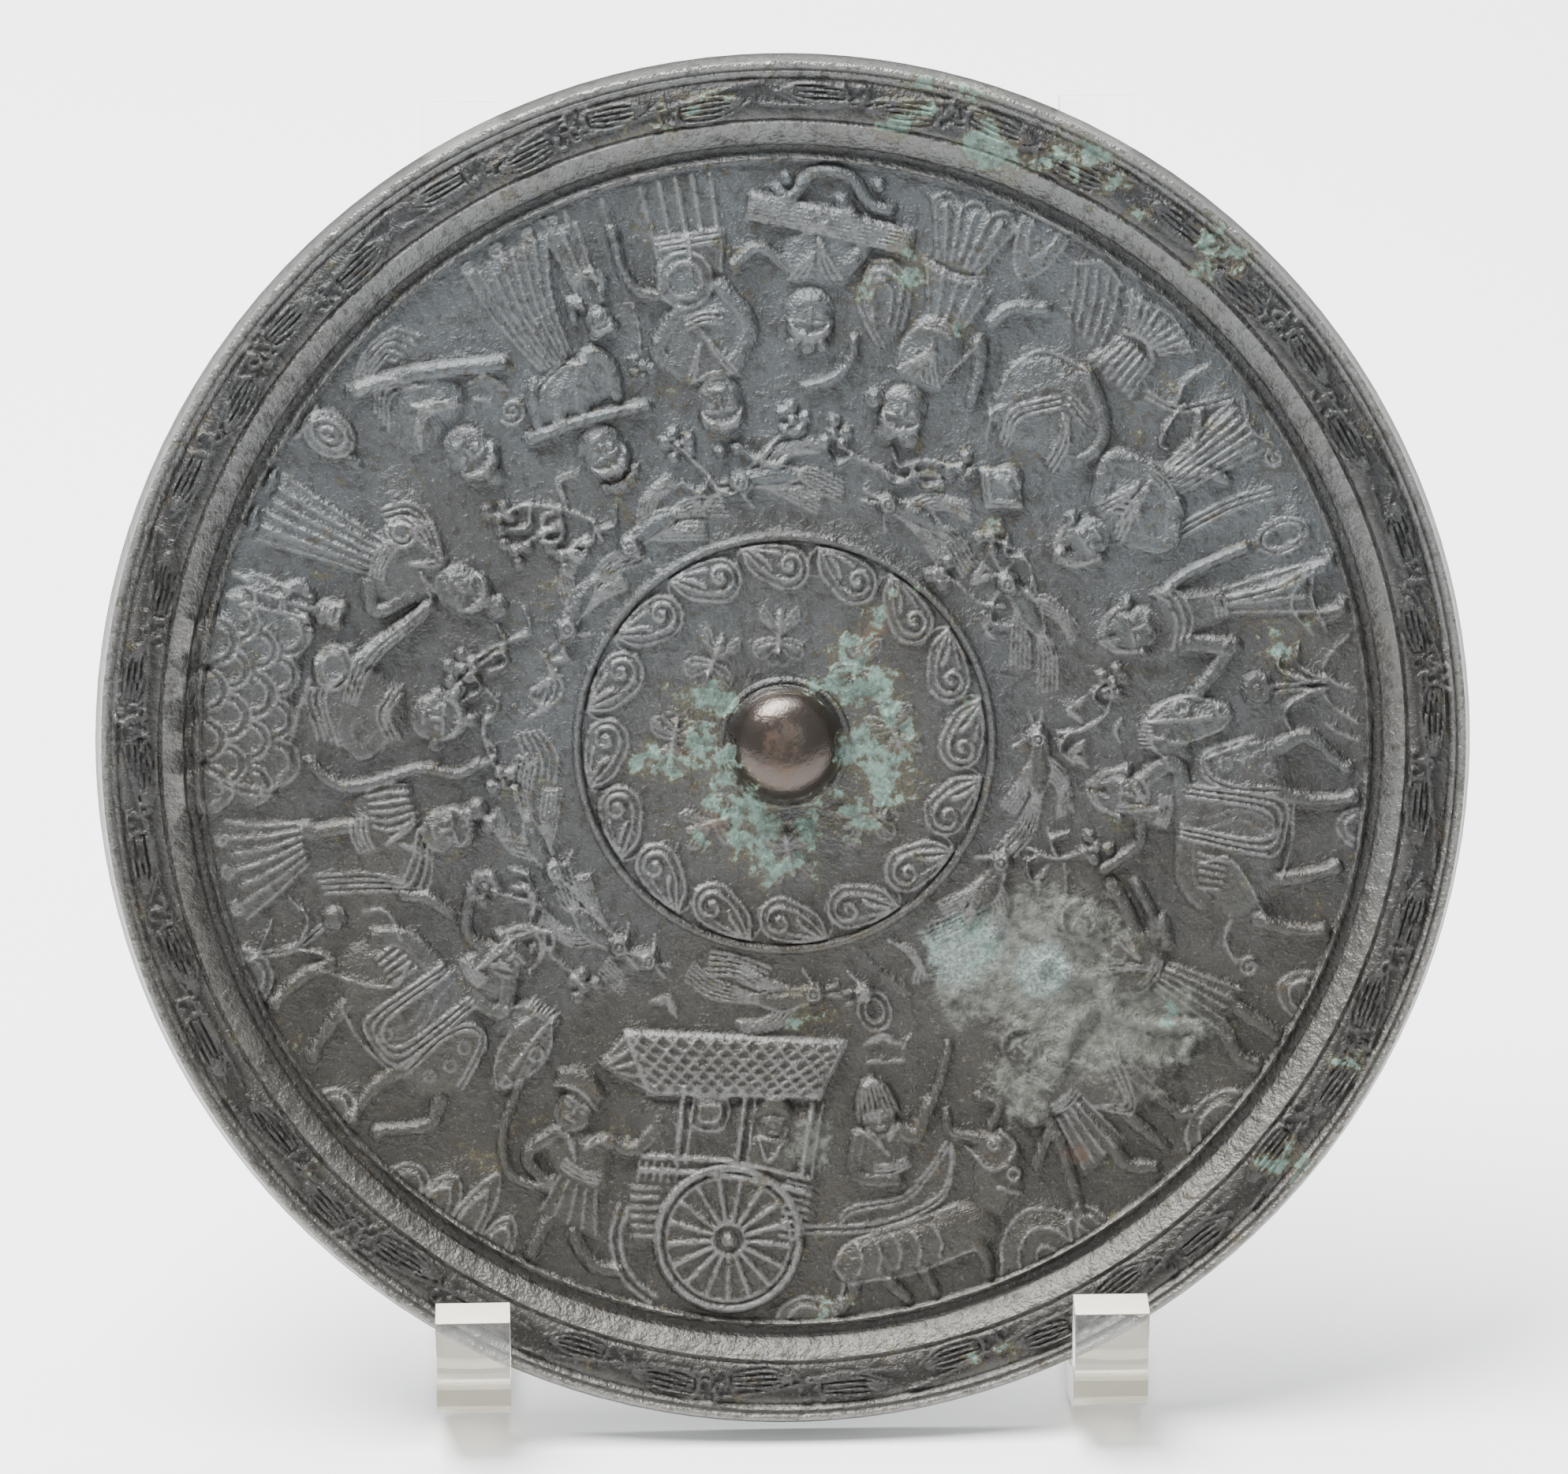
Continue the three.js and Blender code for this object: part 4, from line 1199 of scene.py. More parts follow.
# Angle, height, sweep of the wings and length of the tail.
BIRDS = ((352, 56, 0.6, 12), (26.6, 52.4, 0.8, 9), (57.6, 54.8, 0.55, 8), (90.4, 54, 0.7, 7),
         (119, 56.4, 0.7, 9), (143, 57.4, 0.5, 10), (200, 54.4, 0.8, 11), (222, 54.4, 0.6, 7),
         (267.6, 56, 0.6, 14), (322, 57, 0.55, 8))
for bird in BIRDS:
    flying_bird(*bird)
drawn(f"{len(BIRDS)} flying birds")

# %% Small birds and loose feathers
body((231, 55), (235, 58), (238, 57), (238, 54), (234, 52), h=0.9)
bird_head(237.4, 56.2, 5)
folds(5, [(230, 52.6), (236, 51.4)], [(230.4, 49.4), (236.6, 48.6)], w=0.5)
for k in range(5):
    thread((159 + k * 0.8, 56 + k * 1.1), (166 + k * 0.5, 61.4 - k * 1.4), (174 - k * 0.7, 56 + k * 0.8))
    thread((297 + k * 0.7, 62 - k * 0.6), (301.6 - k * 0.3, 57.4 - k), (297.6 + k, 53.4 - k * 0.3))
    thread((250 + k * 0.2, 62.4 - k), (258, 63 - k * 0.9), (266 - k * 0.6, 61.6 - k))
    thread((176 + k * 0.4, 58.4 - k), (182, 61.4 - k * 1.4), (189 - k, 60.4 - k))
body((290, 62), (293, 58), (297, 53), (295, 52), (291.6, 56), (289, 60), h=0.9)
bird_head(286.8, 55, -4)
hoop(288, 51.6, 2.8, 3.6)
hoop(288, 51.6, 1.6, 2.2)
drawn("small birds")

# %% Berried twigs
BERRY_TURN = 2.4         # from one berry to the next round the first, in radians
BERRY_AWAY = 2.2         # and how far from it


def twig(berries, *points):
    """A stem with two leaves, and berries at its end."""
    thread(*points, w=0.6, h=0.5)
    spot = ring.spot(*points[-1])
    for k in range(berries):
        a, away = BERRY_TURN * k, BERRY_AWAY if k else 0
        spot.dome(away * cos(a), away * sin(a), 0.95, h=0.9)
        spot.ring(away * cos(a), away * sin(a), 0.9, w=0.4, h=0.25)
    (a0, h0), (a1, h1) = points[:2]
    at, high = (a0 + a1) / 2, (h0 + h1) / 2
    curved_leaf((at, high), (at - 3.4, high + 1.8), (at - 6.4, high - 0.8))
    at, high = points[-2]
    curved_leaf((at, high), (at + 3, high + 2.2), (at + 5.6, high - 0.4))


# Number of berries, then the stem.
TWIGS = (
    (6, (1.5, 53.4), (2, 49), (5, 44.4), (10, 42.8)), (4, (31.5, 56), (35, 58.8), (44, 60), (47, 60.6)),
    (4, (30, 50), (37, 48), (44.5, 50)), (5, (64, 50.6), (76, 49.2), (80.5, 46.2)),
    (5, (64.4, 50), (64, 46.4), (57, 44)), (7, (97, 52.6), (92, 49), (88, 44.4)),
    (6, (104, 56.8), (105, 52.6), (109, 45.8)), (5, (131, 53.4), (130.5, 48.4), (136, 40.2), (141, 37.4)),
    (4, (133, 51), (139, 50)), (4, (134, 46), (143.5, 43.2)), (7, (156, 52.6), (160, 48.4), (166, 43.2)),
    (5, (160, 50), (166, 45), (171, 42.2)), (5, (172, 49.2), (178, 48.6), (187.5, 51.6)),
    (7, (210, 50), (210.4, 48), (205, 43)), (5, (211, 50), (216, 46.4), (230, 46)),
    (5, (336, 54.8), (336.5, 49.2), (341, 43.6)))
for item in TWIGS:
    twig(*item)
drawn(f"{len(TWIGS)} twigs")

# %% Crescents


def crescents(count, *points):
    """Nested arcs, like small clouds or folded leaves."""
    path = np.array(points, float)
    centre = path.mean(axis=0)
    for k in range(count):
        thread(*((path - centre) * (1 - 0.3 * k) + centre), w=0.5)


# Number of arcs, then the outer one.
CRESCENTS = (
    (3, (355, 48), (357, 51.6), (360, 48.6)), (3, (363.5, 49), (366, 51.4), (368, 48)),
    (2, (359.5, 42.4), (361.6, 43.4), (363.5, 42)), (3, (26, 60), (29, 61), (33, 59.4)),
    (3, (38, 54), (40, 58), (42, 54)), (2, (36, 54.6), (37.4, 52), (38, 50)),
    (2, (58, 48.4), (60, 47), (64, 49)), (3, (105, 56), (109, 58.4), (110, 55.2)),
    (2, (133, 44.4), (136, 43), (139.4, 46.4)), (2, (126, 41.6), (130, 40.2), (132, 45)),
    (3, (207, 49), (210, 50.6), (213, 48)), (3, (284.5, 46.4), (288, 47.2), (290.5, 44.4)),
    (2, (284, 43.2), (287, 42.4), (290, 41.6)), (2, (290.5, 43.6), (292, 44.8), (293, 45.4)),
    (3, (328.5, 49.2), (331, 51), (334.5, 50.2)), (2, (331, 45), (334, 46.6), (336, 47.8)),
    (2, (337.5, 50.6), (340, 52), (341.5, 52.6)), (3, (155.4, 59), (158, 60.4), (159.6, 58)),
    (3, (242, 50), (245, 52.4), (248, 49.4)), (3, (302, 47), (305, 49.4), (308, 46)))
for item in CRESCENTS:
    crescents(*item)
drawn(f"{len(CRESCENTS)} groups of crescents")
print("relief drawn; highest form", round(float(forms.max()), 2), "mm")

# %% [markdown]
# ## From board to metal
#
# Under the drawing lies the turned disc: rim, slopes, ridges, grooves and boss. It is a list
# of radii and heights, as for a lathe. The drawing could be added to it as it is, but a
# cast and worn surface is never as crisp. So the broad forms flatten off as they get
# higher and are softened, and the threads are softened a little.

# %% The turned profile
FIELD = 3.0              # height of the sunk field above the back
BOSS = 10.2              # radius of the boss
BOSS_HIGH = 8.6          # and its height above the field
BOSS_STEPS = 40
boss_angles = np.linspace(pi / 2, 0, BOSS_STEPS)
turned = [(BOSS * cos(a) ** 0.8, FIELD + BOSS_HIGH * sin(a)) for a in boss_angles]
turned += [(10.5, 3.7), (11.3, 3.7), (11.8, 3.0), (35.3, 3.0), (35.7, 3.9), (36.6, 3.9),
           (37.1, 3.0), (101.2, 3.0), (101.9, 4.1), (102.9, 3.1), (104.2, 3.1), (104.6, 4.4),
           (108.1, 6.0), (108.6, 5.4), (109.0, 5.9), (115.3, 5.9), (115.8, 5.5), (116.8, 6.4),
           (117.4, 5.9), (118.0, 6.6), (118.7, 6.3)]
TURNED_R, TURNED_W = (np.array(side) for side in zip(*turned))
print("the profile has", len(turned), "corners")

# %% The worn relief
FORM_HIGH = 2.1          # no broad form gets higher than this
FORM_SOFT = 0.85         # and this is how soon one nears it
THREAD_HIGH = 1.15       # how much of its drawn height a thread gets


def blur(field, reach):
    """Gaussian blur of a board, by its spectrum."""
    f = np.fft.rfft2(field)
    ky = np.fft.fftfreq(field.shape[0], CELL)[:, None]
    kx = np.fft.rfftfreq(field.shape[1], CELL)[None, :]
    return np.fft.irfft2(f * np.exp(-2 * (pi * reach) ** 2 * (kx ** 2 + ky ** 2)), field.shape)


threads = blur(lines, 0.1)
relief = blur(FORM_HIGH * (1 - np.exp(-forms / FORM_SOFT)), 0.32) + THREAD_HIGH * threads
# how far each point lies below its surroundings, which sets the painted shade in the hollows
hollows = blur(relief, 0.8) - relief
print("relief runs from", round(float(relief.min()), 2), "to", round(float(relief.max()), 2), "mm")

# %% [markdown]
# ## Where the metal has changed
#
# On the real mirror green copper salts bloom round the boss and on the rim, a pale crust
# covers a part at the lower right, and there are rusty spots. They could be painted on an
# image, but that would be tied to one unwrapping. Here each kind is a soft mask on the same
# board as the relief, built from many small patches, so the two always fit.

# %% Patches


def patch(mask, at, radius, long, wide, turn=0.0, strength=1.0):
    """A soft patch: long lies along the circle and wide along the radius."""
    a = radians(at)
    x, y = GRID_X - radius * cos(a), GRID_Y - radius * sin(a)
    u = -x * sin(a) + y * cos(a)
    v = x * cos(a) + y * sin(a)
    c, s = cos(radians(turn)), sin(radians(turn))
    u, v = u * c + v * s, v * c - u * s
    np.maximum(mask, strength * np.exp(-(u / long) ** 2 - (v / wide) ** 2), out=mask)


bloom = np.random.default_rng(5)


def scatter(mask, count, angles, radii, size, strength):
    """Ragged cover: many small patches somewhere between two angles and two radii."""
    for _ in range(count):
        long, wide = size * bloom.uniform(0.6, 1.4), size * bloom.uniform(0.4, 1.0)
        patch(mask, bloom.uniform(*angles), bloom.uniform(*radii), long, wide,
              bloom.uniform(-60, 60), strength * bloom.uniform(0.7, 1.0))


print("a mask has", forms.size, "cells")

# %% Patina masks
verdigris = np.zeros_like(forms)
crust = np.zeros_like(forms)
rust = np.zeros_like(forms)
pale_crust = np.zeros_like(forms)
for count, angles, radii, size, strength in (
        (34, (135, 270), (10.4, 16.5), 3.0, 1.0), (14, (225, 292), (16, 23), 2.4, 0.95),
        (9, (178, 205), (18, 24), 2.4, 0.8), (40, (-80, 60), (10.4, 19), 3.2, 1.0),
        (12, (-30, 12), (17, 23), 2.6, 0.9), (9, (46, 60), (18, 37), 1.8, 0.95),
        (2, (8, 12), (32, 34), 1.6, 0.9), (26, (46, 82), (108, 118.5), 4.0, 0.72),
        (10, (92, 104), (109, 114), 2.4, 0.6), (8, (318, 330), (110, 117), 2.6, 0.8),
        (7, (303, 316), (44, 54), 3.0, 0.7), (5, (318, 330), (66, 90), 2.4, 0.7),
        (3, (272, 276), (49, 52), 2.2, 0.9), (3, (273, 277), (98, 101), 2.4, 0.8),
        (6, (8, 20), (84, 94), 3.4, 0.55), (5, (60, 80), (78, 92), 4.0, 0.6),
        (4, (40, 58), (50, 70), 4.0, 0.5), (3, (285, 290), (111, 114), 2.4, 0.6)):
    scatter(verdigris, count, angles, radii, size, strength)
for at, radius, long, wide, turn, strength in (
        (316, 66, 14, 22, 8, 1.0), (308, 52, 9, 12, 0, 0.9), (322, 82, 12, 10, 0, 0.95),
        (303, 75, 6, 12, 0, 0.7), (328, 60, 8, 14, 0, 0.7), (273.5, 69, 6, 7, 0, 0.8),
        (258, 82, 4, 4, 0, 0.35)):
    patch(crust, at, radius, long, wide, turn, strength)
for at, radius, long, wide, strength in (
        (183, 17, 8, 3, 0.8), (228, 18, 8, 3, 0.8), (348, 21, 9, 3, 0.9), (52, 26, 3, 8, 0.8),
        (62, 111, 26, 5, 0.6), (93.5, 63.5, 5, 4, 0.8), (305, 88, 5, 4, 0.8), (0, 0, 8, 8, 0.8),
        (300, 66, 4, 10, 0.5), (322, 92, 8, 4, 0.5), (276, 72, 4, 6, 0.5), (150, 66, 5, 4, 0.3)):
    patch(rust, at, radius, long, wide, strength=strength)
for at, radius, long, wide in ((311, 46, 8, 8), (318, 60, 5, 5), (274, 50, 3, 3)):
    patch(pale_crust, at, radius, long, wide)
print("crust covers", round(float((crust > 0.4).mean() * 100), 1), "% of the board")

# %% The crust's own relief
CRUST_HIGH = 0.14
PIT_RING = 2.6           # radius of the raised ring round a pit in the crust
grain_seed = np.random.default_rng(11)
grain = blur(grain_seed.normal(size=forms.shape), 1.0)
grain /= grain.std()
relief = relief + CRUST_HIGH * crust * (crust > 0.25) * (1 + 0.5 * grain.clip(-1, 1))
(pit_x, pit_y), = Hand(318.5, 61.7).place([(0, 0)])
pit_gap = np.hypot(GRID_X - pit_x, GRID_Y - pit_y)
pit_lip = 0.5 * np.exp(-((pit_gap - PIT_RING) / 0.7) ** 2)
pit_floor = 0.7 * np.exp(-(pit_gap / 1.8) ** 2)
relief = relief + pit_lip - pit_floor
print("the pit is", round(float(pit_floor.max()), 1), "mm deep and", 2 * PIT_RING, "mm wide")

# %% [markdown]
# ## The mirror's mesh
#
# The mesh could be a square grid too, but then its round ridges would look like stairs. A
# polar mesh follows the turned profile exactly, so its ridges are true circles. It is
# closed by the side wall and the flat reflecting face, thinned where it is smooth, and
# pierced for the cord by one boolean.

# %% The disc
TURNS = 1600             # points round the disc
STEP = 0.34              # from one circle of points to the next
FIRST_CIRCLE = 0.6       # radius of the innermost one
BOSS_FADE = 1.2          # the drawing fades in over this much beyond the boss
EDGE_FADE = 0.8          # and fades out over this much before the edge


def sample(board, x, y):
    """The board's value between its cells."""
    u = ((x + HALF) / CELL).clip(0, SIDE - 1.001)
    v = ((y + HALF) / CELL).clip(0, SIDE - 1.001)
    i, j = u.astype(int), v.astype(int)
    a, b = u - i, v - j
    return ((board[j, i] * (1 - a) + board[j, i + 1] * a) * (1 - b)
            + (board[j + 1, i] * (1 - a) + board[j + 1, i + 1] * a) * b)


def disc_mesh():
    """Points, four-sided faces and three-sided faces of the closed disc."""
    ring_r = np.append(np.arange(FIRST_CIRCLE, FRONT_RADIUS - 0.1, STEP), FRONT_RADIUS)
    angle = np.linspace(0, 2 * pi, TURNS, endpoint=False)
    r, a = np.meshgrid(ring_r, angle, indexing="ij")
    x, y = r * np.cos(a), r * np.sin(a)
    w = np.interp(r, TURNED_R, TURNED_W)
    fade_in = np.clip((r - BOSS) / BOSS_FADE, 0, 1)
    fade_out = np.clip((FRONT_RADIUS - r) / EDGE_FADE, 0, 1)
    w = w + sample(relief, x, y) * (fade_in * fade_out)
    rows = len(ring_r)
    edge = np.stack([RADIUS * np.cos(angle), RADIUS * np.sin(angle), np.zeros(TURNS)], 1)
    verts = np.vstack([np.stack([x, y, w], 2).reshape(-1, 3), edge,
                       [[0, 0, FIELD + BOSS_HIGH], [0, 0, 0]]])
    k = np.arange(TURNS)
    nxt = (k + 1) % TURNS
    row = np.arange(rows)[:, None] * TURNS
    inner, outer = row, row + TURNS
    quads = np.stack([inner + k, outer + k, outer + nxt, inner + nxt], 2).reshape(-1, 4)
    top, bottom = len(verts) - 2, len(verts) - 1
    caps = [np.stack([np.full(TURNS, top), k, nxt], 1),
            np.stack([np.full(TURNS, bottom), rows * TURNS + nxt, rows * TURNS + k], 1)]
    return verts, quads, np.vstack(caps)


verts, quads, caps = disc_mesh()
full_count = 2 * len(quads) + len(caps)
print("the disc has", full_count, "triangles")

# %% From arrays to a piece


def mesh_from(name, verts, quads, tris):
    mesh = bpy.data.meshes.new(name)
    mesh.vertices.add(len(verts))
    mesh.vertices.foreach_set("co", verts.astype(np.float32).ravel())
    mesh.loops.add(quads.size + tris.size)
    mesh.loops.foreach_set("vertex_index", np.append(quads.ravel(), tris.ravel()).astype(np.int32))
    sizes = np.append(np.full(len(quads), 4), np.full(len(tris), 3))
    mesh.polygons.add(len(sizes))
    starts = np.append(0, np.cumsum(sizes)[:-1]).astype(np.int32)
    mesh.polygons.foreach_set("loop_start", starts)
    mesh.update(calc_edges=True)
    mesh.validate()
    return mesh


def link(name, mesh):
    piece = bpy.data.objects.new(name, mesh)
    bpy.context.scene.collection.objects.link(piece)
    return piece


def settle(piece):
    """Turn a piece's modifiers into plain mesh."""
    graph = bpy.context.evaluated_depsgraph_get()
    made = bpy.data.meshes.new_from_object(piece.evaluated_get(graph))
    piece.modifiers.clear()
    piece.data = made


mirror = link("mirror_relief", mesh_from("mirror_relief", verts, quads, caps))
print("mirror piece made, with", len(mirror.data.vertices), "points")

# %% Thin and pierce it
TRIANGLES = 188000
HOLE_HALF = 2.7          # half the width of the hole for the cord
HOLE_WALL = 1.8          # height of its straight sides
HOLE_FLOOR = FIELD + 0.8
HOLE_REACH = 15          # the cutter ends outside the boss
ARCH_POINTS = 17


def cord_hole():
    """A long prism with an arched top, through the boss."""
    arch = np.linspace(0, pi, ARCH_POINTS)
    outline = [(-HOLE_HALF, 0), (HOLE_HALF, 0)]
    outline += [(HOLE_HALF * cos(a), HOLE_WALL + HOLE_HALF * sin(a)) for a in arch]
    n = len(outline)
    corners = [(side * HOLE_REACH, y, HOLE_FLOOR + w) for side in (-1, 1) for y, w in outline]
    faces = [tuple(range(n))[::-1], tuple(range(n, 2 * n))]
    faces += [(k, (k + 1) % n, n + (k + 1) % n, n + k) for k in range(n)]
    mesh = bpy.data.meshes.new("cord_hole")
    mesh.from_pydata(corners, [], faces)
    work = bmesh.new()
    work.from_mesh(mesh)
    bmesh.ops.remove_doubles(work, verts=work.verts, dist=1e-5)
    bmesh.ops.recalc_face_normals(work, faces=work.faces)
    work.to_mesh(mesh)
    work.free()
    return link("cord_hole", mesh)


thin = mirror.modifiers.new("thin", "DECIMATE")
thin.ratio = TRIANGLES / full_count
settle(mirror)
cutter = cord_hole()
hole = mirror.modifiers.new("hole", "BOOLEAN")
hole.object = cutter
hole.operation = "DIFFERENCE"
hole.solver = "MANIFOLD"
settle(mirror)
bpy.data.objects.remove(cutter)
mirror.data.calc_loop_triangles()
print("thinned to", len(mirror.data.loop_triangles), "triangles")

# %% [markdown]
# ## Masks on the mesh
#
# A material can't read the board. The masks could become images, but the mesh is fine
# enough to hold them itself: each point gets the value of every mask as an attribute, and
# the material reads the attributes by name. The rim's wear and painted highlight, and the
# painted shade in its grooves, depend on the radius alone, so they are short lists of radius
# and strength.

# %% Carry a mask
local = np.empty(len(mirror.data.vertices) * 3, np.float32)
mirror.data.vertices.foreach_get("co", local)
local = local.reshape(-1, 3).astype(float)
front = local[:, 2] > 1.0    # all but the flat back and its edge


def carry(name, board):
    """Give the front of the mirror a board's values, as an attribute."""
    values = np.where(front, sample(board, local[:, 0], local[:, 1]), 0.0)
    layer = mirror.data.attributes.new(name, "FLOAT", "POINT")
    layer.data.foreach_set("value", values.astype(np.float32))


def by_radius(*steps):
    """A board that depends on the radius alone, from pairs of radius and strength."""
    return np.interp(GRID_R, *zip(*steps))


print(int(front.sum()), "of", len(local), "points lie on the front")

# %% Masks by place
HOLLOW_FULL = 0.5        # a hollow this deep gets the full painted shade
carry("thread", (threads / CREST).clip(0, 1))
carry("hollow", (hollows / HOLLOW_FULL).clip(-1, 1))
carry("verdigris", verdigris)
carry("crust", crust)
carry("crust_pale", pale_crust)
carry("rust", rust)
# painted light: the face grows lighter and bluer towards the top
carry("top_light", (0.45 + GRID_Y / 190).clip(0, 1))
print("the mesh has", len(mirror.data.attributes), "attributes so far")

# %% Masks by radius
# painted shade: darker in the grooves and over the frieze band
grooves = by_radius(
    (0, 0.2), (10, 0.3), (10.4, 0.7), (11.6, 0), (36.9, 0), (37.1, 0.4), (37.5, 0), (100.8, 0),
    (101.1, 0.5), (101.8, 0), (102.5, 0.3), (103.2, 0.9), (104.4, 0.7), (104.9, 0), (108, 0),
    (108.5, 0.9), (109.2, 0.78), (115.1, 0.78), (115.7, 0.9), (116.4, 0.1), (117, 0.3),
    (117.4, 0.9), (118, 0), (120, 0))
# rubbed crests, and a painted highlight over the rim's inner slope
crests = by_radius(
    (0, 0.1), (36, 0), (36.2, 0.3), (36.6, 0), (101.4, 0), (101.8, 0.7), (102.4, 0), (104.6, 0.2),
    (105.1, 0.85), (107.8, 0.85), (108.3, 0), (109, 0.35), (109.5, 0), (114.9, 0), (115.3, 0.35),
    (115.6, 0), (116.5, 0.6), (117.1, 0), (117.7, 0.6), (118.7, 0.8))
carry("shade", grooves)
carry("rubbed_and_sheen", crests)
carry("polished", by_radius((0, 1), (9.3, 1), (BOSS, 0)))
print("attributes:", sorted(layer.name for layer in mirror.data.attributes))

# %% Put the mirror in its place
mirror.data.transform(TO_WORLD)
mirror.data.shade_smooth()
mirror.data.set_sharp_from_angle(angle=radians(52))
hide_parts("bronze_mirror")
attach(mirror, "root")
print("mirror stands in for the solid bronze_mirror")

# %% [markdown]
# ## A small language for shaders
#
# A material is a formula, but as a web of nodes it is long to write and hard to read. The
# class below wraps one output of a node. Adding or multiplying two of them makes the Math
# node that does it, so the formula can be written as one.

# %% Shader values


class Value:
    """An output of a shader node that can be used in arithmetic."""

    def __init__(self, tree, out=None):
        self.tree = tree
        self.out = out

    def node(self, kind, inputs=None, out=0, **settings):
        """Any node: its settings come first, then the values or links of its sockets."""
        made = self.tree.nodes.new(kind)
        for key, setting in settings.items():
            setattr(made, key, setting)
        for key, value in (inputs or {}).items():
            self.plug(made.inputs[key], value)
        return Value(self.tree, made.outputs[out])

    def plug(self, target, value):
        if isinstance(value, Value):
            self.tree.links.new(value.out, target)
        else:
            target.default_value = value

    def maths(self, operation, *values):
        return self.node("ShaderNodeMath", dict(enumerate(values)), operation=operation)

    def __add__(self, other):
        return self.maths("ADD", self, other)

    __radd__ = __add__

    def __mul__(self, other):
        return self.maths("MULTIPLY", self, other)

    __rmul__ = __mul__

    def __sub__(self, other):
        return self.maths("SUBTRACT", self, other)

    def __rsub__(self, other):
        return self.maths("SUBTRACT", other, self)

    def clamp(self):
        return self.node("ShaderNodeClamp", {"Value": self})

    def ramp(self, low, high):
        """0 below low, 1 above high, and smooth between."""
        return self.node("ShaderNodeMapRange", {"Value": self, "From Min": low, "From Max": high},
                         interpolation_type="SMOOTHSTEP")

    def blend(self, a, b):
        """Colour a where this is 0, and b where it is 1."""
        return self.node("ShaderNodeMix", {0: self, 6: a, 7: b}, out=2, data_type="RGBA")


print("operators of a value:", [name for name in vars(Value) if name.startswith("__r")], "and more")

# %% Tones and materials


def tone(hex_code):
    """A linear colour from the usual six hexadecimal digits."""
    parts = [int(hex_code[k:k + 2], 16) / 255 for k in (0, 2, 4)]
    return (*[c / 12.92 if c < 0.04 else ((c + 0.055) / 1.055) ** 2.4 for c in parts], 1)


def new_material(name):
    material = bpy.data.materials.new(name)
    material.use_nodes = True
    tree = material.node_tree
    return material, tree.nodes["Principled BSDF"], Value(tree)


print("middle grey is", [round(part, 3) for part in tone("808080")])

# %% [markdown]
# ## Bronze
#
# The real metal is a dark brown-grey tin bronze. Here painted light makes it lighter and bluer
# towards the top; it is lighter where it stands proud, and painted shade darkens its hollows and
# grooves. One plain colour would look like plastic.
# So the colours are laid over each other like glazes, each through a mask, and the masks
# are broken up by noise to give each patch the ragged edge of real corrosion.

# %% Noise and masks
bronze, shader, start = new_material("aged_bronze")
place = start.node("ShaderNodeTexCoord", out="Object")


def noise(scale, detail=4.0, rough=0.6):
    return start.node("ShaderNodeTexNoise", {"Vector": place, "Scale": scale, "Detail": detail,
                                             "Roughness": rough})


def mask(name):
    return start.node("ShaderNodeAttribute", out="Fac", attribute_name=name)


broad = noise(35)
medium = noise(140)
fine = noise(520, 5)
speck = noise(1500, 3)
torn = (noise(95, 9, 0.74) - 0.5) * 2.2 + (fine - 0.5) * 1.2
green_field = mask("verdigris") * 0.9 + torn
green_here = green_field.ramp(0.40, 0.58)
ochre_here = green_field.ramp(0.24, 0.40)
crust_here = (mask("crust") * 0.9 + torn * 0.7).ramp(0.3, 0.6)
rust_here = (mask("rust") * 0.9 + torn * 0.8).ramp(0.45, 0.8)
raised = mask("thread")
worn_and_sheen = mask("rubbed_and_sheen")
shade = mask("shade")
polished = mask("polished")
print("the masks take", len(bronze.node_tree.nodes), "nodes")

# %% Bronze colours
BROWN = tone("413f3b")         # bare metal
BLUE_TOP_LIGHT = tone("55595b")     # painted light, lighter and bluer, towards the top
BROWN_CLOUD = tone("403e3a")
# painted shade for the grooves
GROOVE_SHADE = tone("252322")
# painted shade for the hollows
HOLLOW_SHADE = tone("2a2826")
THREAD_METAL = tone("868684")
RUBBED_SHEEN_METAL = tone("8b8984")
DARK_GRAIN = tone("302d29")
BRIGHT_SPECK = tone("7d7c79")
POLISHED_BOSS = tone("4a423c")
RUST_BROWN = tone("513e30")
OCHRE = tone("57503c")         # rim of the green patches
OLIVE_DARK = tone("555650")    # crust
OLIVE_LIGHT = tone("6b6c65")
PALE_DARK = tone("62716c")     # thicker crust
PALE_LIGHT = tone("8f9d97")
GREEN_DARK = tone("3f534d")    # verdigris
GREEN_LIGHT = tone("6d877d")
GREEN_SPECK = tone("98aca4")
print("dark metal is", [round(part, 3) for part in BROWN[:3]])

# %% Bare metal, with painted light and shade
# painted light: lighter and bluer towards the top
top_light = (mask("top_light") + (broad - 0.5) * 1.2).ramp(0.1, 0.9)
metal = top_light.blend(BROWN, BLUE_TOP_LIGHT)
metal = (medium.ramp(0.5, 0.7) * 0.5).blend(metal, BROWN_CLOUD)
# painted shade in the grooves and over the frieze band
metal = (shade * 0.85).blend(metal, GROOVE_SHADE)
metal = (raised * (0.2 + medium * 0.5) * (1.0 - shade * 0.9)).blend(metal, THREAD_METAL)
# rubbed crests, and a painted highlight on the inner slope of the rim
metal = (worn_and_sheen * (0.5 + medium * 0.55)).blend(metal, RUBBED_SHEEN_METAL)
# painted shade in the hollows of the relief
metal = (mask("hollow").ramp(0.0, 0.9) * 0.6).blend(metal, HOLLOW_SHADE)
metal = (fine.ramp(0.5, 0.66) * 0.5).blend(metal, DARK_GRAIN)
metal = (speck.ramp(0.6, 0.72) * 0.3).blend(metal, BRIGHT_SPECK)
metal = (polished * 0.8).blend(metal, POLISHED_BOSS)
print("with bare metal:", len(bronze.node_tree.nodes), "nodes")

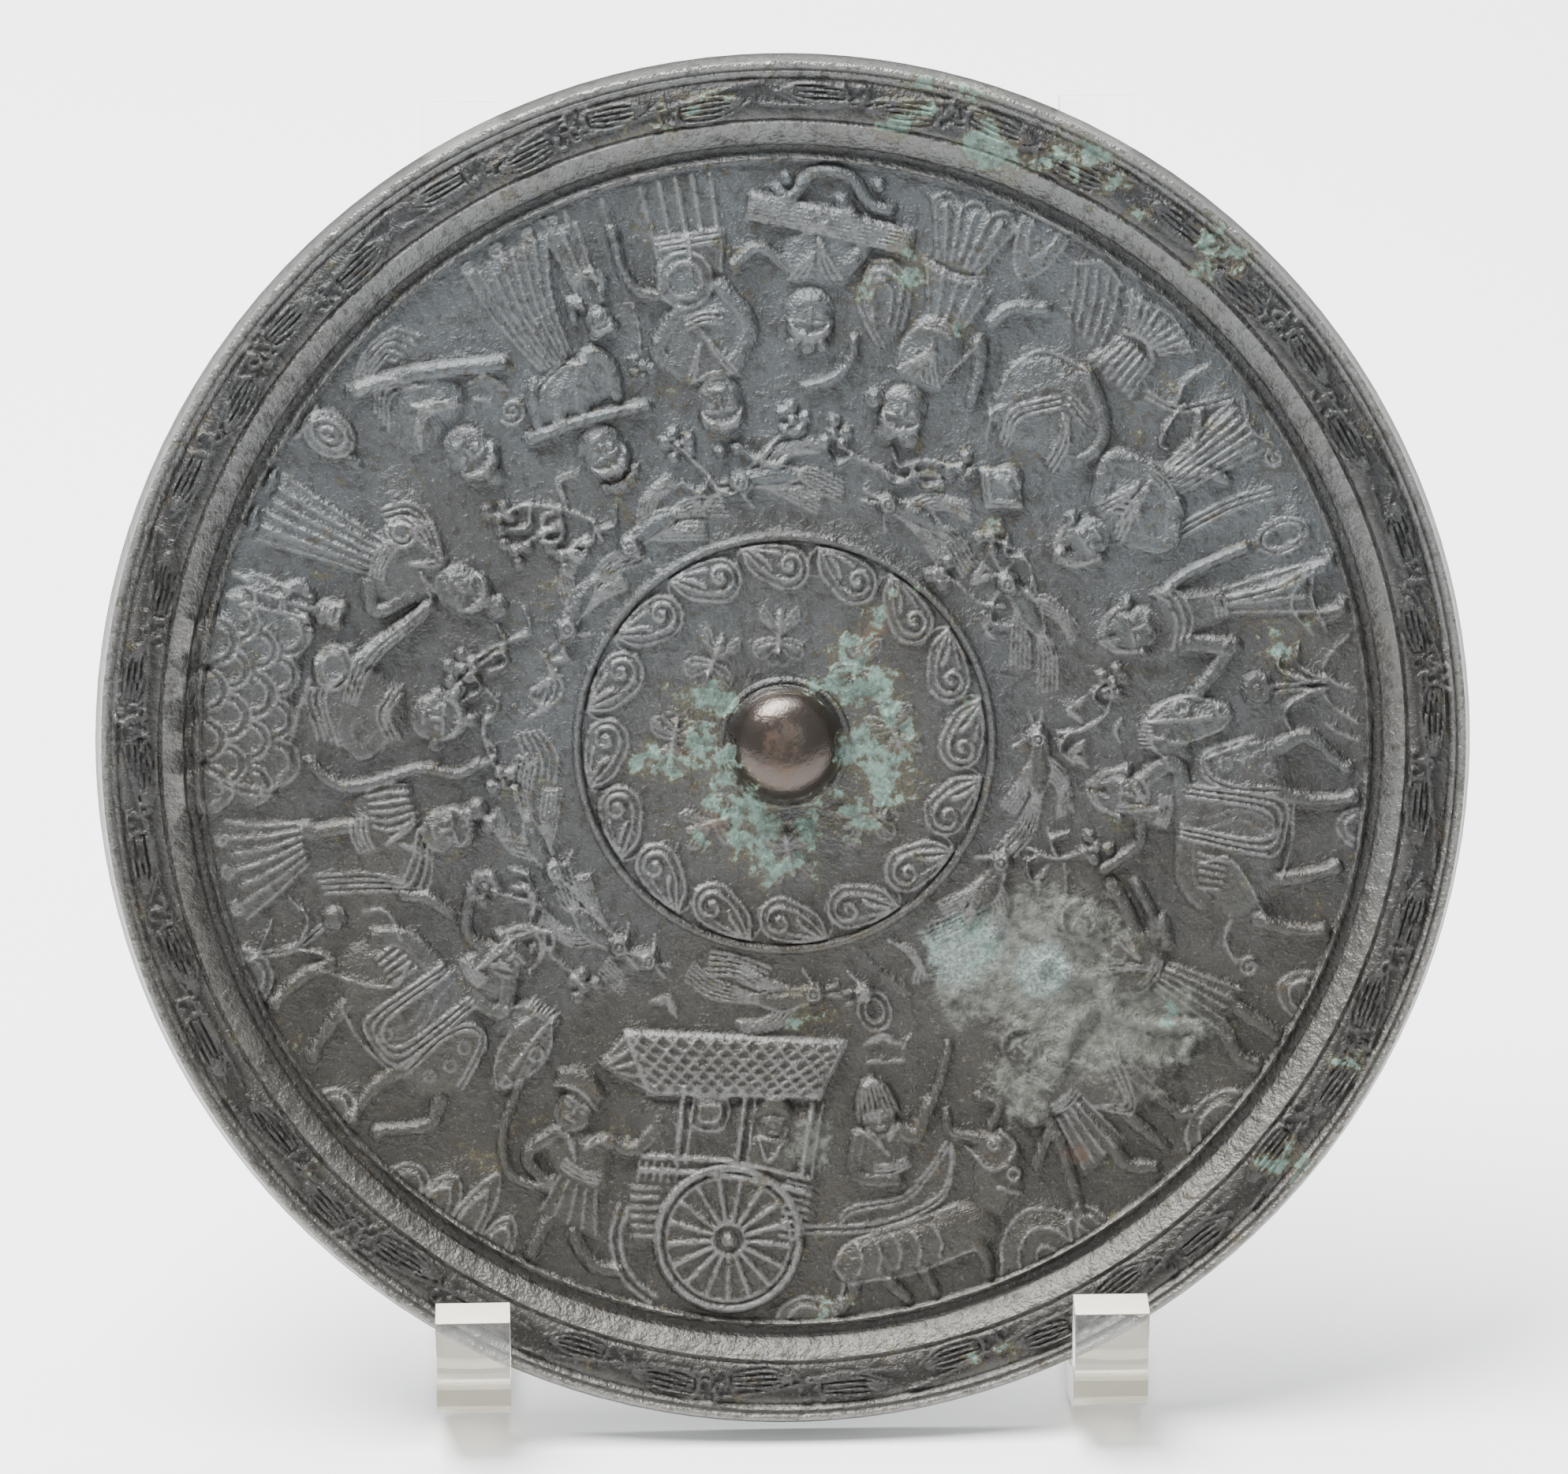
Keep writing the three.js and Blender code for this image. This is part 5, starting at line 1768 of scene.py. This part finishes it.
# %% Rust, crust and verdigris
metal = (rust_here * 0.6).blend(metal, RUST_BROWN)
metal = (ochre_here * 0.5).blend(metal, OCHRE)
olive = fine.ramp(0.4, 0.6).blend(OLIVE_DARK, OLIVE_LIGHT)
pale = speck.ramp(0.35, 0.65).blend(PALE_DARK, PALE_LIGHT)
crusted = (broad * 0.5 + mask("crust_pale") * 0.9 - 0.2).ramp(0.2, 0.6).blend(olive, pale)
metal = (crust_here * (0.25 + fine * 0.9)).blend(metal, crusted)
green = fine.ramp(0.35, 0.65).blend(GREEN_DARK, GREEN_LIGHT)
green = (speck.ramp(0.58, 0.7) * 0.6).blend(green, GREEN_SPECK)
metal = (green_here * (0.5 + speck * 0.5)).blend(metal, green)
print("with corrosion:", len(bronze.node_tree.nodes), "nodes")

# %% Gloss and grain
GRAIN_DEEP = 0.0009      # metres
dull = (green_here * 0.8 + crust_here * 0.5 + rust_here * 0.4).clamp()
start.plug(shader.inputs["Base Color"], metal)
start.plug(shader.inputs["Metallic"], (1.0 - dull) * 0.85)
gloss = worn_and_sheen * 0.1 + polished * 0.18
start.plug(shader.inputs["Roughness"], 0.38 + medium * 0.14 + dull * 0.35 - gloss)
grit = medium * 0.8 + fine * 0.9 + speck * 0.35 + crust_here * fine * 1.2
grit = grit * (1.0 - polished * 0.8)
bump = start.node("ShaderNodeBump", {"Height": grit, "Strength": 0.8, "Distance": GRAIN_DEEP})
start.plug(shader.inputs["Normal"], bump)
mirror.data.materials.clear()
mirror.data.materials.append(bronze)
print("the bronze takes", len(bronze.node_tree.nodes), "nodes")

# %% [markdown]
# ## Acrylic
#
# The stand is bent from thick clear strip. The flat faces are polished. The sawn ends are
# not, and they look creamy, because light that enters the strip anywhere comes out there.
# Following that light takes a renderer very long, so the sawn finish lets less light
# through and glows very faintly instead.

# %% Clear and sawn acrylic
CLEAR_TINT = (0.985, 0.99, 0.985, 1)
CREAM = tone("efead6")
clear, clear_shader, _ = new_material("clear_acrylic")
clear_shader.inputs["Base Color"].default_value = CLEAR_TINT
clear_shader.inputs["Roughness"].default_value = 0.02
clear_shader.inputs["IOR"].default_value = 1.45
clear_shader.inputs["Transmission Weight"].default_value = 1.0
sawn_glow, sawn_glow_shader, _ = new_material("sawn_glowing_acrylic")
# painted light: the cream colour and the faint glow stand for light that the strip carries out at its cut
# ends
sawn_glow_shader.inputs["Base Color"].default_value = CREAM
sawn_glow_shader.inputs["Roughness"].default_value = 0.35
sawn_glow_shader.inputs["IOR"].default_value = 1.49
sawn_glow_shader.inputs["Transmission Weight"].default_value = 0.35
sawn_glow_shader.inputs["Emission Color"].default_value = CREAM
sawn_glow_shader.inputs["Emission Strength"].default_value = 0.25
print("acrylic materials:", clear.name, sawn_glow.name)

# %% Polished pieces
EASE = 0.4 * MM          # how far the edges are rounded


def acrylic_piece(node):
    """A polished copy of one CAD piece, with eased edges."""
    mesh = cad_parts[node].data.copy()
    work = bmesh.new()
    work.from_mesh(mesh)
    bmesh.ops.remove_doubles(work, verts=work.verts, dist=1e-6)
    bmesh.ops.dissolve_limit(work, angle_limit=radians(1), verts=work.verts, edges=work.edges)
    bmesh.ops.recalc_face_normals(work, faces=work.faces)
    work.to_mesh(mesh)
    work.free()
    piece = link(node + "_polished", mesh)
    eased = piece.modifiers.new("eased", "BEVEL")
    eased.width = EASE
    eased.segments = 2
    eased.limit_method = "ANGLE"
    eased.angle_limit = radians(50)
    settle(piece)
    mesh = piece.data
    mesh.materials.clear()
    mesh.materials.append(clear)
    mesh.materials.append(sawn_glow)
    mesh.shade_smooth()
    mesh.set_sharp_from_angle(angle=radians(30))
    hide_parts(node)
    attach(piece, "root")
    return piece


STAND = [acrylic_piece(node) for node in sorted(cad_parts) if node != "bronze_mirror"]
print("stand pieces:", [piece.name for piece in STAND])

# %% Cut ends, and undersides with a painted glow
CUT_AREA = 1.2e-4        # a cut across the strip is smaller than this, in square metres
ANY_AREA = 1.0
UP = (0, 0, 1)
DOWN = (0, 0, -1)
BACK = (0, 1, 0)
ALONG_LEAN = (0, sin(LEAN), cos(LEAN))


def give_sawn_glow(piece, directions, largest):
    """Give the faces that look one of these ways the glowing finish of the cut ends, and count them."""
    found = [facet for facet in piece.data.polygons
             if facet.area < largest and any(facet.normal.dot(Vector(d)) > 0.9 for d in directions)]
    for facet in found:
        facet.material_index = 1
    return len(found)


for piece in STAND:
    ends = give_sawn_glow(piece, [UP, BACK, ALONG_LEAN], CUT_AREA)
    # The undersides get the same glow: painted light where the strip would show the shaded table beneath
    # it.
    undersides = give_sawn_glow(piece, [DOWN], ANY_AREA)
    print(piece.name, "has", ends, "facets at its ends and", undersides, "below")

# %% [markdown]
# ## Table and light
#
# The mirror stands on a pale, evenly lit studio table. A sheet that curves up behind it
# would do, but it would block the view from behind, so the table is one wide flat sheet.
# One broad light hangs overhead, a little to the left, one further back, which keeps the
# far table bright, and a weak one in front. A pale world fills the shadows.

# %% Table
FLOOR_HALF = 6.0         # metres from the middle to each side


def studio_table():
    """A flat sheet, wide enough to fill every view."""
    mesh = bpy.data.meshes.new("studio_table")
    signs = ((-1, -1), (1, -1), (1, 1), (-1, 1))
    corners = [(x * FLOOR_HALF, y * FLOOR_HALF, 0.0) for x, y in signs]
    mesh.from_pydata(corners, [], [(0, 1, 2, 3)])
    return link("studio_table", mesh)


floor = studio_table()
paper, paper_shader, _ = new_material("paper")
paper_shader.inputs["Base Color"].default_value = tone("f4f5f6")
paper_shader.inputs["Roughness"].default_value = 0.9
floor.data.materials.append(paper)
print("the table is", 2 * FLOOR_HALF, "m wide")

# %% Lights
LIGHT_WIDE = 1.0         # metres across each lamp
MIRROR_SPOT = (0, 0, 0.1)


def soft_light(name, spot, target, watts):
    lamp = bpy.data.lights.new(name, "AREA")
    lamp.shape = "DISK"
    lamp.size = LIGHT_WIDE
    lamp.energy = watts
    holder = link(name, lamp)
    holder.location = spot
    aim = Vector(target) - Vector(spot)
    holder.rotation_mode = "QUATERNION"
    holder.rotation_quaternion = aim.to_track_quat("-Z", "Y")


soft_light("key", (-0.5, 0.1, 1.55), MIRROR_SPOT, 92)
soft_light("front", (0.3, -1.6, 1.3), MIRROR_SPOT, 6)
soft_light("behind", (0, 0.6, 1.7), (0, 0.9, 0.0), 52)
print("lights:", [lamp.name for lamp in bpy.data.lights])

# %% World
world = bpy.data.worlds.new("pale_room")
world.use_nodes = True
sky = world.node_tree.nodes["Background"]
sky.inputs["Color"].default_value = (0.95, 0.97, 1.0, 1)
sky.inputs["Strength"].default_value = 0.66
bpy.context.scene.world = world
print("the world is called", world.name)

# %% [markdown]
# ## Camera
#
# The camera stands a little above the mirror and looks down on it nearly square to its
# face. It could be set by trial and error. Instead its lens follows from how many parts of
# the frame's width one millimetre of the mirror should fill at a chosen distance, and a
# fairly large distance keeps the disc from looking egg-shaped.

# %% The camera
FRAME_WIDE = 1988.0
PER_MM = 7.266           # this many parts of the frame's width show one millimetre
DISTANCE = 1.6           # metres
SENSOR = 36.0            # millimetres
AZIMUTH = radians(-1.7)
ELEVATION = radians(25.2)
camera_data = bpy.data.cameras.new("camera")
camera = link("camera", camera_data)
back = Vector((sin(AZIMUTH) * cos(ELEVATION), -cos(AZIMUTH) * cos(ELEVATION), sin(ELEVATION)))
aim_at = Vector((0, 0, (middle_z + 1.0) * MM))
camera.location = aim_at + back * DISTANCE
camera.rotation_mode = "QUATERNION"
camera.rotation_quaternion = (-back).to_track_quat("-Z", "Y")
camera_data.sensor_width = SENSOR
camera_data.lens = PER_MM / MM * DISTANCE / FRAME_WIDE * SENSOR
camera_data.clip_start = 0.05
camera_data.clip_end = 20
bpy.context.scene.camera = camera
print("camera lens", round(camera_data.lens, 1), "mm")

# %% [markdown]
# ## Size
#
# The dressed object should fill the same box as the plain part. It could be judged by eye,
# but a box measured before and after would show a slip of a tenth of a millimetre.
